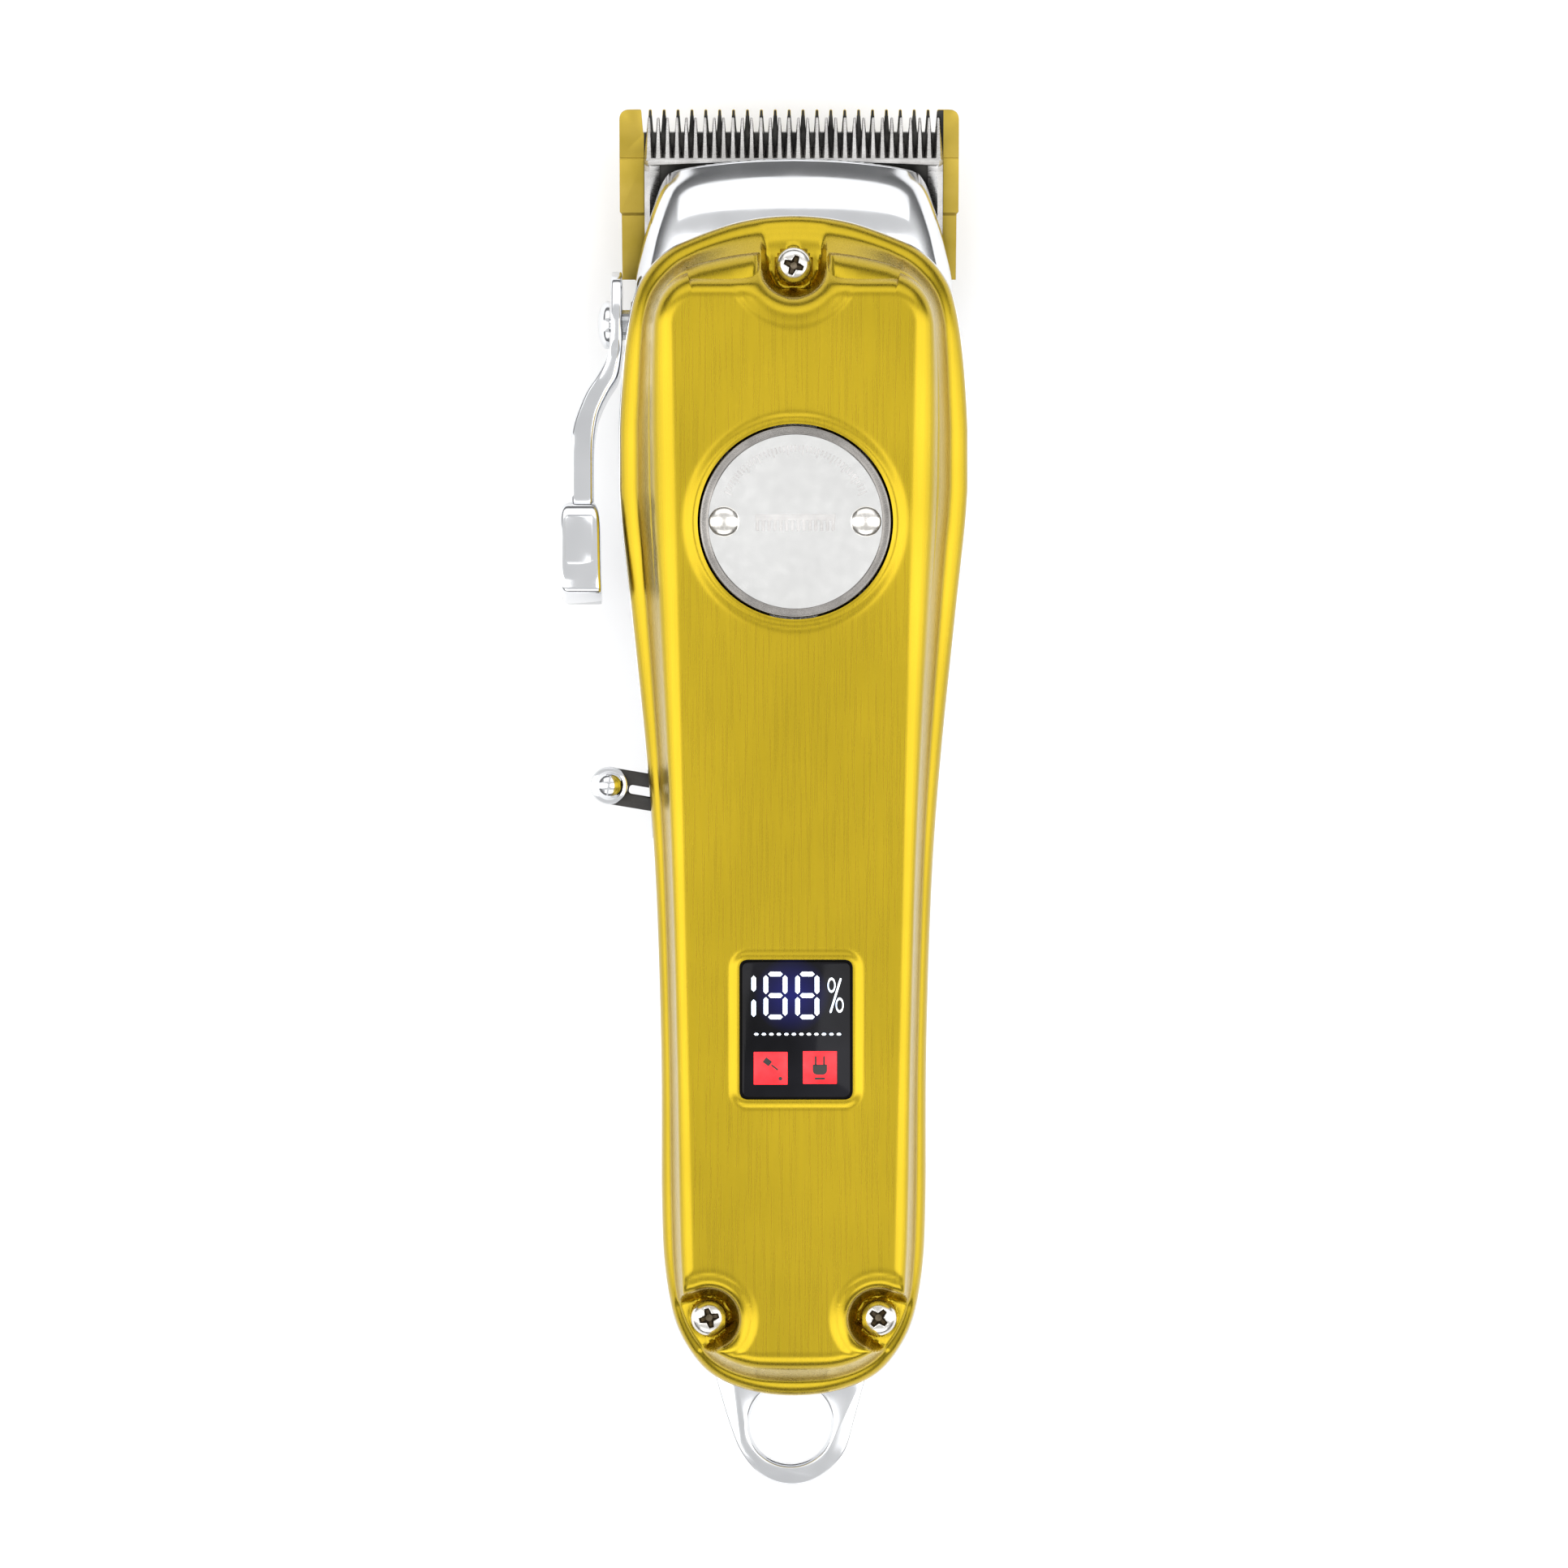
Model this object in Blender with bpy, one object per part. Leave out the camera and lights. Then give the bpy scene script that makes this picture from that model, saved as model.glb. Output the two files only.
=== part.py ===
"""Cordless metal hair clipper with a taper lever, a side power switch and a battery display.

Frame: metres, +Z up out of the cover, +Y towards the blade, +X to the right when the cover is
seen from above. The origin lies on the flat land of the underside, on the body's mid-plane.
"""
import math

import bmesh
import bpy
from mathutils import Matrix, Vector

MM = 0.001

# Fits
GAP = 0.3 * MM                     # between pieces that seat on or in each other
RUNNING_GAP = 0.3 * MM             # radial, around turning pieces
BLADE_GAP = 0.2 * MM               # between the two ground blades

# Body outline, seen from above
BODY_WIDTH = 46.0 * MM             # widest point, at the head
COVER_LENGTH = 155.5 * MM          # nose end to tail end of the cover
FRONT_Y = 76.4 * MM                # nose end of the cover
REAR_Y = FRONT_Y - COVER_LENGTH
RIM_SHAPE = (                      # share of the half-width, share of the length from the tail
    (0.0, 1.0), (0.304, 0.995), (0.6, 0.980), (0.743, 0.968), (0.854, 0.950), (0.920, 0.927),
    (0.969, 0.883), (0.998, 0.818), (0.993, 0.756), (0.928, 0.663), (0.843, 0.540),
    (0.791, 0.432), (0.761, 0.292), (0.757, 0.168), (0.737, 0.107), (0.674, 0.062),
    (0.557, 0.031), (0.417, 0.0135), (0.217, 0.0032), (0.0, 0.0),
)
RIM_STEPS = 2                      # outline points between two of these

# Heights
SEAM_Z = 24.0 * MM                 # top edge of the base housing
COVER_Z = SEAM_Z + GAP             # lower edge of the cover
RIM_HEIGHT = 2.5 * MM              # upright edge of the cover
TOP_Z = 35.7 * MM                  # flat top of the cover at y = 0
TOP_TILT = math.radians(1.4)       # the top falls towards the tail
SIDE_Z = 20.0 * MM                 # the base's sides start to curve in below this
COVER_WALL = 1.6 * MM
BASE_WALL = 1.8 * MM
TOP_FRONT_Y = FRONT_Y - 10.4 * MM
TOP_REAR_Y = REAR_Y + 3.4 * MM
TOP_FRONT_HALF = 16.6 * MM
TOP_REAR_HALF = 14.6 * MM
TOP_CORNER = 3.0 * MM
LAND_FRONT_Y = 52.0 * MM
LAND_REAR_Y = REAR_Y + 15.0 * MM
LAND_FRONT_HALF = 13.0 * MM
LAND_REAR_HALF = 8.0 * MM
LAND_CORNER = 5.0 * MM
ROUND_STEPS = 6                    # rings in each outer rounded shoulder
HOLLOW_STEPS = 3                   # rings in each inner one

# Blade set: local X across, local Y forward and local Z up along the tilted blade plane
BLADE_TILT = math.radians(15.0)
BLADE_TIP_Y = 89.9 * MM            # tips of the moving blade
BLADE_TIP_Z = 17.0 * MM            # height of the ground plane between the blades, at the tips
FIXED_WIDTH = 45.0 * MM
FIXED_OFFSET_X = -0.6 * MM
FIXED_REACH = 0.98 * MM            # fixed tips stand out past the moving ones
FIXED_ROOT = -4.9 * MM
FIXED_BEND = -12.8 * MM
FIXED_HEEL = -22.2 * MM
FIXED_THICKNESS = 3.2 * MM
FIXED_SEAT_DROP = 1.0 * MM         # heel seat below the ground plane
FIXED_TEETH = 21
FIXED_PITCH = 1.84 * MM
CORNER_TOOTH = 2.9 * MM
MOVING_WIDTH = 39.8 * MM
MOVING_TEETH = 32
MOVING_ROOT = -5.0 * MM
MOVING_LAND = -6.8 * MM
MOVING_BACK = -16.8 * MM
MOVING_THICKNESS = 1.8 * MM
TIP_THICKNESS = 0.35 * MM
CUTTER_STROKE = 1.25 * MM          # each way
BLADE_SCREW_X = 9.5 * MM
BLADE_SCREW_V = -20.3 * MM
BLADE_HEAD = 2.2 * MM              # radius
BLADE_SHANK = 1.15 * MM            # radius
HEAD_FLOOR_W = 1.5 * MM - FIXED_THICKNESS
BAY_W = 2.5 * MM                   # underside of the nose above the ground plane

# Nose of the base housing
NOSE_LIP_Y = 84.2 * MM
NOSE_LIP_BOW = 1.9 * MM
FRONT_WALL_Y = 66.0 * MM           # inner face of the base's front wall
THROAT_HALF = 15.5 * MM
THROAT_Z = 20.25 * MM

# Taper lever and its cam
LEVER_Y = 62.3 * MM
LEVER_Z = 17.0 * MM
LEVER_REST = math.radians(10.0)    # the arm rises towards the tail
LEVER_PLATE = 1.5 * MM
LEVER_SHAFT = 2.0 * MM             # radius
LEVER_BUSH_WALL = 0.8 * MM
CAM_DISC = 3.3 * MM                # radius
CAM_OFFSET = 2.4 * MM
CAM_PIN = 0.8 * MM                 # radius
CAM_PIN_LENGTH = 3.1 * MM
LEVER_SWING = math.radians(30.0)
BLADE_TRAVEL = CAM_OFFSET * LEVER_SWING
EAR_FRONT = 2.1 * MM               # carriage ear, beyond and above the cam pin's centre
EAR_TOP = 1.2 * MM
EAR_INNER_X = -13.0 * MM
LEVER_STATIONS = (                 # along the arm, inner face, outer face, height (mm)
    (-6.8, 0.0, 1.5, 5.6), (-5.2, 0.0, 1.5, 9.0), (0.0, 0.0, 1.5, 10.4), (3.0, 0.0, 1.5, 9.2),
    (5.0, 0.15, 2.0, 7.2), (7.5, 0.6, 3.5, 6.0), (9.6, 1.8, 4.8, 5.6), (12.2, 3.0, 5.9, 5.4),
    (14.6, 3.5, 6.6, 5.2), (17.0, 3.7, 6.7, 5.0), (24.7, 3.7, 6.7, 4.8), (25.4, 3.6, 7.7, 7.4),
    (27.0, 2.9, 8.1, 8.8), (34.5, 2.75, 8.1, 9.0), (37.0, 2.6, 7.5, 8.0),
)

# Motor and drive
MOTOR_Z = 17.0 * MM
MOTOR_FRONT_Y = 52.0 * MM
MOTOR_LENGTH = 30.8 * MM
MOTOR_RADIUS = 12.1 * MM
MOTOR_WALL = 0.9 * MM
BRACKET_CLEARANCE = 3.2 * MM       # inside the base's side walls
SHAFT_RADIUS = 1.0 * MM
BEARING_RADIUS = 3.0 * MM
ECCENTRIC_RADIUS = 4.0 * MM
ECCENTRIC_PIN = 1.0 * MM           # radius
ECCENTRIC_LENGTH = 4.0 * MM
DRIVE_PIN_LENGTH = 6.0 * MM
FORK_GAP_HALF = CUTTER_STROKE * 2 + ECCENTRIC_PIN + 0.2 * MM
FORK_FINGER = 1.7 * MM

# Battery, boards and charging socket
CELL_RADIUS = 9.15 * MM
CELL_LENGTH = 65.0 * MM
CELL_LOW_Z = 4.05 * MM             # lowest line of the cell
CELL_Z = CELL_LOW_Z + CELL_RADIUS
CELL_FRONT_Y = 5.0 * MM
CRADLE_WALL = 1.4 * MM
BOARD_CLEARANCE = 1.15 * MM        # over the battery cradle and the switch arm
BOARD_THICKNESS = 1.6 * MM
BOARD_EDGE = 0.5 * MM              # outside the switch's pivot
BOARD_FRONT_Y = 14.0 * MM
BOARD_REAR_Y = REAR_Y + 18.5 * MM
CHIP_ROOT = 0.4 * MM               # depth of a chip in the board
CHIPS = (                          # x, y from the board's front, width, length, height
    (-4.0 * MM, -66.0 * MM, 4.0 * MM, 8.0 * MM, 1.2 * MM),
    (3.0 * MM, -28.0 * MM, 6.0 * MM, 6.0 * MM, 1.6 * MM),
    (-5.0 * MM, -22.0 * MM, 3.0 * MM, 5.0 * MM, 1.0 * MM),
    (4.0 * MM, -8.0 * MM, 5.0 * MM, 5.0 * MM, 2.4 * MM),
)
SOCKET_Z = 11.0 * MM
SOCKET_RADIUS = 4.0 * MM
SOCKET_BORE = 2.75 * MM
SOCKET_FACE_Y = REAR_Y + 1.1 * MM
SOCKET_LENGTH = 12.0 * MM

# Badge and display on the cover
BADGE_X = 0.2 * MM
BADGE_Y = 35.7 * MM
BADGE_RADIUS = 12.5 * MM
BADGE_WINDOW = 11.35 * MM
BADGE_DEPTH = 1.6 * MM
BADGE_RING = 0.55 * MM
BADGE_PLATE = 0.65 * MM
BADGE_SCREW_X = 9.25 * MM
BADGE_PAD = 3.2 * MM
DISPLAY_X = 0.3 * MM
DISPLAY_Y = REAR_Y + 48.5 * MM
DISPLAY_WIDTH = 14.2 * MM
DISPLAY_LENGTH = 17.7 * MM
DISPLAY_CORNER = 1.0 * MM
DISPLAY_FRAME = 1.5 * MM
DISPLAY_FRAME_RISE = 0.35 * MM
LENS_FLANGE = 1.2 * MM
MODULE_RISE = 1.2 * MM

# Screws
COVER_HEAD = 2.4 * MM              # radius
COVER_HEAD_HEIGHT = 2.0 * MM
COVER_SHANK = 1.1 * MM             # radius
BOSS_WALL = 2.3 * MM               # around the shank, in the base
FRONT_SCREW_Y = FRONT_Y - 7.0 * MM
FRONT_POCKET = 4.1 * MM
FRONT_POCKET_Z = 29.5 * MM
REAR_SCREW_X = 11.1 * MM
REAR_SCREW_Y = REAR_Y + 10.6 * MM
REAR_POCKET = 4.4 * MM
REAR_POCKET_Z = 28.0 * MM
FRONT_SCREW_END_Z = 20.6 * MM
REAR_SCREW_END_Z = 13.0 * MM
POCKET_WALL = 1.5 * MM
VALLEY_FLARE = 1.35                # width of a pocket's open side against the pocket
VALLEY_REACH = 10.0 * MM
POCKET_STEP = 0.5 * MM             # the way out lies above the pocket's floor
REAR_VALLEY_TURN = math.radians(-115.0)

# Power switch
SWITCH_INSET = 8.9 * MM            # pivot, inside the body's left side
SWITCH_Y = -1.1 * MM
SWITCH_ARM = 14.5 * MM             # pivot to knob
SWITCH_REST = math.radians(9.5)
SWITCH_SWING = math.radians(19.0)
SWITCH_HALF = 2.45 * MM
SWITCH_LOW_Z = 20.6 * MM
SWITCH_THICKNESS = 2.2 * MM
SWITCH_PIN = 0.9 * MM
KNOB_DISC = 2.5 * MM               # radius
KNOB_BALL = 1.9 * MM               # radius
BOARD_Z = BOARD_CLEARANCE + max(CELL_Z + CELL_RADIUS + GAP + CRADLE_WALL,
                                SWITCH_LOW_Z + SWITCH_THICKNESS)

# Hanging loop
LOOP_X = -0.5 * MM
LOOP_Y = REAR_Y - 3.8 * MM
LOOP_HOLE = 5.25 * MM
LOOP_RADIUS = 7.95 * MM
LOOP_LOW_Z = 18.8 * MM
LOOP_THICKNESS = 4.9 * MM
LOOP_NECK_HALF = 10.3 * MM
LOOP_EAR = 2.2 * MM
LOOP_FRONT_Y = REAR_Y + 12.6 * MM

ALONG_Y = Matrix.Rotation(-math.pi / 2, 4, "X")    # local Z turned to +Y
ALONG_X = Matrix.Rotation(math.pi / 2, 4, "Y")     # local Z turned to +X
BLADE_FRAME = Matrix.Translation((0, BLADE_TIP_Y, BLADE_TIP_Z)) @ Matrix.Rotation(BLADE_TILT, 4, "X")

FINISHES = {                       # colour, metallic, roughness
    "gold": ((0.56, 0.40, 0.03), 1.0, 0.3),
    "blade_gold": ((0.50, 0.37, 0.08), 1.0, 0.35),
    "chrome": ((0.85, 0.86, 0.88), 1.0, 0.08),
    "steel": ((0.55, 0.56, 0.57), 1.0, 0.3),
    "mirror_plate": ((0.80, 0.80, 0.79), 1.0, 0.15),
    "glass_black": ((0.02, 0.02, 0.03), 0.0, 0.08),
    "plastic_black": ((0.03, 0.03, 0.03), 0.0, 0.5),
    "plastic_white": ((0.75, 0.75, 0.72), 0.0, 0.5),
    "nylon": ((0.60, 0.58, 0.52), 0.0, 0.5),
    "board_green": ((0.03, 0.20, 0.08), 0.0, 0.5),
    "copper": ((0.70, 0.35, 0.18), 1.0, 0.35),
    "ferrite": ((0.10, 0.10, 0.11), 0.0, 0.6),
    "cell_wrap": ((0.05, 0.20, 0.45), 0.0, 0.4),
}


# ---------------------------------------------------------------- basic shapes

def clear_scene():
    for old in list(bpy.data.objects):
        bpy.data.objects.remove(old, do_unlink=True)
    for group in list(bpy.data.collections):
        bpy.data.collections.remove(group)


def finish_material(name, finish):
    colour, metallic, roughness = FINISHES[finish]
    material = bpy.data.materials.new(name)
    material.use_nodes = True
    shader = material.node_tree.nodes["Principled BSDF"]
    shader.inputs["Base Color"].default_value = (*colour, 1.0)
    shader.inputs["Metallic"].default_value = metallic
    shader.inputs["Roughness"].default_value = roughness
    return material


def solid(bm, name, finish=None, place=None, smooth=True):
    """An object from a closed bmesh; without a finish it is a hidden cutter."""
    bmesh.ops.triangulate(bm, faces=bm.faces)
    bmesh.ops.recalc_face_normals(bm, faces=bm.faces)
    mesh = bpy.data.meshes.new(name)
    bm.to_mesh(mesh)
    bm.free()
    if smooth:
        mesh.shade_smooth()
        mesh.set_sharp_from_angle(angle=math.radians(35))
    obj = bpy.data.objects.new(name, mesh)
    bpy.context.scene.collection.objects.link(obj)
    if place is not None:
        obj.matrix_world = place
    if finish is None:
        obj.hide_render = True
        obj.display_type = "WIRE"
    else:
        mesh.materials.append(finish_material(name, finish))
    return obj


def loft(name, rings, finish=None, place=None, closed=False):
    """Quads between rings with equal point counts, capped at both ends unless closed."""
    bm = bmesh.new()
    loops = [[bm.verts.new(point) for point in ring] for ring in rings]
    count = len(loops[0])
    pairs = list(zip(loops, loops[1:]))
    if closed:
        pairs.append((loops[-1], loops[0]))
    for low, high in pairs:
        for i in range(count):
            j = (i + 1) % count
            bm.faces.new((low[i], low[j], high[j], high[i]))
    if not closed:
        bm.faces.new(loops[0])
        bm.faces.new(loops[-1])
    return solid(bm, name, finish, place)


def turned(name, profile, finish=None, place=None, segments=24, closed=False):
    """A profile of (radius, height) turned about the local Z axis."""
    turns = [2 * math.pi * i / segments for i in range(segments)]
    rings = [[(r * math.cos(a), r * math.sin(a), z) for a in turns] for r, z in profile]
    return loft(name, rings, finish, place, closed)


def rod(name, radius, low, high, finish=None, place=None, segments=24):
    return turned(name, ((radius, low), (radius, high)), finish, place, segments)


def tube(name, inner, outer, low, high, finish=None, place=None, segments=24):
    profile = ((inner, low), (outer, low), (outer, high), (inner, high))
    return turned(name, profile, finish, place, segments, closed=True)


def prism(name, outline, low, high, finish=None, place=None, plane="XY"):
    """An outline pushed along the axis that its plane leaves out."""
    make = {
        "XY": lambda a, b, h: (a, b, h),
        "YZ": lambda a, b, h: (h, a, b),
    }[plane]
    rings = [[make(a, b, h) for a, b in outline] for h in (low, high)]
    return loft(name, rings, finish, place)


def box(name, low, high, finish=None, place=None):
    outline = ((low[0], low[1]), (high[0], low[1]), (high[0], high[1]), (low[0], high[1]))
    return prism(name, outline, low[2], high[2], finish, place)


def rounded_rectangle(half_x, half_y, radius, steps=4):
    points = []
    for corner, (sx, sy) in enumerate(((1, 1), (-1, 1), (-1, -1), (1, -1))):
        for step in range(steps + 1):
            angle = math.pi / 2 * (corner + step / steps)
            points.append((sx * (half_x - radius) + radius * math.cos(angle),
                           sy * (half_y - radius) + radius * math.sin(angle)))
    return points


def combine(obj, others, operation):
    """One exact Boolean of the object with everything gathered for this operation."""
    name = f"{obj.name}_{operation.lower()}"
    group = bpy.data.collections.get(name)
    if group is None:
        group = bpy.data.collections.new(name)
        modifier = obj.modifiers.new(name, "BOOLEAN")
        modifier.operation = operation
        modifier.solver = "EXACT"
        modifier.operand_type = "COLLECTION"
        modifier.collection = group
    for other in others:
        group.objects.link(other)


def cut(obj, *cutters):
    combine(obj, cutters, "DIFFERENCE")


def add(obj, *others):
    combine(obj, others, "UNION")


def blade_point(x, v, w):
    return BLADE_FRAME @ Vector((x, v, w))


# ---------------------------------------------------------------- body outline

def spline(points, steps):
    """Catmull-Rom points from the first to the last control point."""
    found = []
    for i in range(len(points) - 1):
        p1, p2 = Vector(points[i]), Vector(points[i + 1])
        p0 = Vector(points[i - 1]) if i else Vector((-p2.x, p2.y))
        p3 = Vector(points[i + 2]) if i + 2 < len(points) else Vector((-p1.x, p1.y))
        for step in range(steps):
            t = step / steps
            found.append(0.5 * (2 * p1 + (p2 - p0) * t + (2 * p0 - 5 * p1 + 4 * p2 - p3) * t ** 2
                                + (3 * p1 - p0 - 3 * p2 + p3) * t ** 3))
    found.append(Vector(points[-1]))
    return found


def rim_outline():
    """The cover's outline: down the right side from the nose to the tail, and back up the left."""
    right = spline([(w * BODY_WIDTH / 2, REAR_Y + f * COVER_LENGTH) for w, f in RIM_SHAPE], RIM_STEPS)
    left = [Vector((-p.x, p.y)) for p in reversed(right[1:-1])]
    return right + left


RIM = rim_outline()


def rim_half(y):
    """Half-width of the body's outline at y."""
    side = RIM[:len(RIM) // 2 + 1]
    for a, b in zip(side, side[1:]):
        if b.y <= y <= a.y:
            return a.x + (b.x - a.x) * (a.y - y) / (a.y - b.y)
    raise ValueError("y is outside the body")


def inset_rim(inset, front_y=None):
    """Every second point of the outline drawn in by inset, its nose end cut off at front_y."""
    middle = (FRONT_Y + REAR_Y) / 2
    scale_x = 1 - inset / (BODY_WIDTH / 2)
    scale_y = 1 - inset / (COVER_LENGTH / 2)
    points = [Vector((p.x * scale_x, middle + (p.y - middle) * scale_y)) for p in RIM[::2]]
    if front_y is not None:
        points = [Vector((p.x, min(p.y, front_y))) for p in points]
    return points


def onto_flat(points, rear_y, front_y, rear_half, front_half, corner):
    """Each point moved to the nearest place on a tapered rectangle with round corners."""
    found = []
    for p in points:
        y = min(max(p.y, rear_y + corner), front_y - corner)
        share = (y - rear_y) / (front_y - rear_y)
        half = rear_half + (front_half - rear_half) * share - corner
        core = Vector((min(max(p.x, -half), half), y))
        found.append(core + (p - core).normalized() * corner)
    return found


def shoulder(rim, flat, rim_z, flat_z, steps=ROUND_STEPS):
    """Rings that curve from the rim to the flat as a quarter ellipse; flat_z is called with y."""
    rings = []
    for step in range(1, steps + 1):
        angle = math.pi / 2 * step / steps
        ring = []
        for outer, inner in zip(rim, flat):
            p = outer + (inner - outer) * (1 - math.cos(angle))
            z = rim_z + (flat_z(inner.y) - rim_z) * math.sin(angle)
            ring.append((p.x, p.y, z))
        rings.append(ring)
    return rings


def level(points, z):
    return [(p.x, p.y, z) for p in points]


def top_z(y):
    return TOP_Z + y * math.tan(TOP_TILT)


def top_place(x, y):
    """A frame on the flat top of the cover, its Z square to it."""
    return Matrix.Translation((x, y, top_z(y))) @ Matrix.Rotation(TOP_TILT, 4, "X")


def side_x(y, z):
    """Half-width of the base housing at y and height z."""
    half = rim_half(y)
    if z >= SIDE_Z:
        return half
    share = (min(max(y, LAND_REAR_Y), LAND_FRONT_Y) - LAND_REAR_Y) / (LAND_FRONT_Y - LAND_REAR_Y)
    land = LAND_REAR_HALF + (LAND_FRONT_HALF - LAND_REAR_HALF) * share
    return half - (half - land) * (1 - math.sqrt(1 - (1 - z / SIDE_Z) ** 2))


def switch_x():
    """The switch's pivot, so far inside the body that the knob stands outside it."""
    return SWITCH_INSET - rim_half(SWITCH_Y)


def hollow_x(y, z):
    """Half-width of the base housing's hollow at y and height z."""
    inner = rim_half(y) * (1 - BASE_WALL / (BODY_WIDTH / 2))
    if z >= SIDE_Z:
        return inner
    fall = (SIDE_Z - z) / (SIDE_Z - BASE_WALL)
    floor = side_x(y, 0.0) - 0.5 * MM
    return inner - (inner - floor) * (1 - math.sqrt(1 - fall ** 2))


# ---------------------------------------------------------------- screws

def cross_cutter(name, reach, width, depth, place):
    a, b = reach, width / 2
    outline = ((a, -b), (a, b), (b, b), (b, a), (-b, a), (-b, b),
               (-a, b), (-a, -b), (-b, -b), (-b, -a), (b, -a), (b, -b))
    return prism(name, outline, -depth, depth, None, place)


def screw(name, head, height, shank, length, place, finish="steel", recess=True, segments=16):
    """A domed screw, its head's underside at the local origin and its shank down local -Z."""
    profile = (
        (0.6 * shank, -length), (shank, -length + 0.5 * shank), (shank, 0.0), (head, 0.0),
        (head, 0.3 * height), (0.72 * head, 0.82 * height), (0.2 * head, height),
    )
    piece = turned(name, profile, finish, place, segments)
    if recess:
        tip = place @ Matrix.Translation((0, 0, height))
        cut(piece, cross_cutter(f"{name}_recess", 0.55 * head, 0.22 * head, 0.5 * height, tip))
    return piece


# ---------------------------------------------------------------- housing

def cover_boss_places():
    """Where each cover screw stands: name, x, y, pocket radius, pocket floor."""
    return (
        ("front_cover_screw", 0.0, FRONT_SCREW_Y, FRONT_POCKET, FRONT_POCKET_Z),
        ("left_rear_cover_screw", -REAR_SCREW_X, REAR_SCREW_Y, REAR_POCKET, REAR_POCKET_Z),
        ("right_rear_cover_screw", REAR_SCREW_X, REAR_SCREW_Y, REAR_POCKET, REAR_POCKET_Z),
    )


def valley_turn(x):
    """The front pocket opens to the nose, the rear ones outwards and a little to the tail."""
    turn = 0.0 if x == 0 else math.copysign(REAR_VALLEY_TURN, -x)
    return Matrix.Rotation(turn, 4, "Z")


def valley_outline(pocket, wall=0.0):
    """The way out of a screw pocket along local +Y, flared, with or without its wall."""
    near, far = pocket + wall, VALLEY_FLARE * pocket + wall
    return ((-near, 0), (near, 0), (far, VALLEY_REACH), (-far, VALLEY_REACH))


def top_flat(points, inset):
    return onto_flat(points, TOP_REAR_Y + inset, TOP_FRONT_Y - inset,
                     TOP_REAR_HALF - inset, TOP_FRONT_HALF - inset, TOP_CORNER - inset)


def top_cover():
    rim_z = COVER_Z + RIM_HEIGHT
    rings = [level(RIM, COVER_Z), level(RIM, rim_z)] + shoulder(RIM, top_flat(RIM, 0.0), rim_z, top_z)
    cover = loft("top_cover", rings, "gold")
    frame_half_x = DISPLAY_WIDTH / 2 + DISPLAY_FRAME
    frame_half_y = DISPLAY_LENGTH / 2 + DISPLAY_FRAME
    frame = prism("display_frame_form", rounded_rectangle(frame_half_x, frame_half_y, 2 * MM),
                  -COVER_WALL / 2, DISPLAY_FRAME_RISE, None, top_place(DISPLAY_X, DISPLAY_Y))
    add(cover, frame)

    inner = inset_rim(COVER_WALL)
    inner_rings = [level(inner, SEAM_Z - 1 * MM), level(inner, rim_z)]
    inner_rings += shoulder(inner, top_flat(inner, 0.6 * MM), rim_z, lambda y: top_z(y) - COVER_WALL,
                            HOLLOW_STEPS)
    hollow = loft("cover_hollow", inner_rings)
    for name, x, y, pocket, floor_z in cover_boss_places():
        place = Matrix.Translation((x, y, 0)) @ valley_turn(x)
        boss = rod(f"{name}_cover_boss", pocket + POCKET_WALL, COVER_Z, 2 * SEAM_Z, None, place)
        ridge = prism(f"{name}_ridge", valley_outline(pocket, POCKET_WALL), COVER_Z, 2 * SEAM_Z, None,
                      place)
        cut(hollow, boss, ridge)
    cut(hollow, rod("badge_pad", BADGE_RADIUS + 2 * MM, -BADGE_PAD, BADGE_PAD, None,
                    top_place(BADGE_X, BADGE_Y), 32))
    cut(cover, hollow)

    for name, x, y, pocket, floor_z in cover_boss_places():
        place = Matrix.Translation((x, y, 0)) @ valley_turn(x)
        cut(cover, rod(f"{name}_pocket", pocket, floor_z, 2 * SEAM_Z, None, place))
        cut(cover, prism(f"{name}_valley", valley_outline(pocket), floor_z + POCKET_STEP, 2 * SEAM_Z, None,
                         place))
        cut(cover, rod(f"{name}_cover_hole", COVER_SHANK + GAP, 0, 2 * SEAM_Z, None, place, 16))

    badge_place = top_place(BADGE_X, BADGE_Y)
    cut(cover, rod("badge_recess", BADGE_RADIUS + GAP, -BADGE_DEPTH, 5 * MM, None, badge_place, 36))
    for side in (-1, 1):
        place = badge_place @ Matrix.Translation((side * BADGE_SCREW_X, 0, 0))
        cut(cover, rod(f"badge_screw_hole_{side}", 1.2 * MM, -2 * BADGE_PAD, 0, None, place, 16))
    window = rounded_rectangle(DISPLAY_WIDTH / 2 + GAP, DISPLAY_LENGTH / 2 + GAP, DISPLAY_CORNER)
    cut(cover, prism("display_window", window, -5 * MM, 5 * MM, None, top_place(DISPLAY_X, DISPLAY_Y)))
    return cover


def nose_form():
    """The nose over the blades: superellipse sections along Y, bowed at the lip."""
    stations = (                   # y, half-width share of the body's half-width, roof height, bow
        (60.0 * MM, 0.90, SEAM_Z - 0.15 * MM, 0.0),
        (67.0 * MM, 0.915, SEAM_Z - 0.15 * MM, 0.0),
        (72.4 * MM, 0.861, SEAM_Z - 0.3 * MM, 0.0),
        (77.0 * MM, 0.809, SEAM_Z - 0.7 * MM, 0.6 * MM),
        (81.0 * MM, 0.770, SEAM_Z - 2.2 * MM, 1.4 * MM),
        (NOSE_LIP_Y, 0.735, SEAM_Z - 4.4 * MM, NOSE_LIP_BOW),
    )
    low_z = BLADE_TIP_Z - 6 * MM
    rings = []
    for y, share, roof, bow in stations:
        half = share * BODY_WIDTH / 2
        ring = []
        for step in range(17):
            angle = math.pi * step / 16
            x = half * math.copysign(abs(math.cos(angle)) ** 0.6, math.cos(angle))
            z = low_z + (roof - low_z) * math.sin(angle) ** 0.6
            ring.append((x, y - bow * (x / half) ** 2, z))
        rings.append(ring)
    return loft("nose_form", rings)


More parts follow.
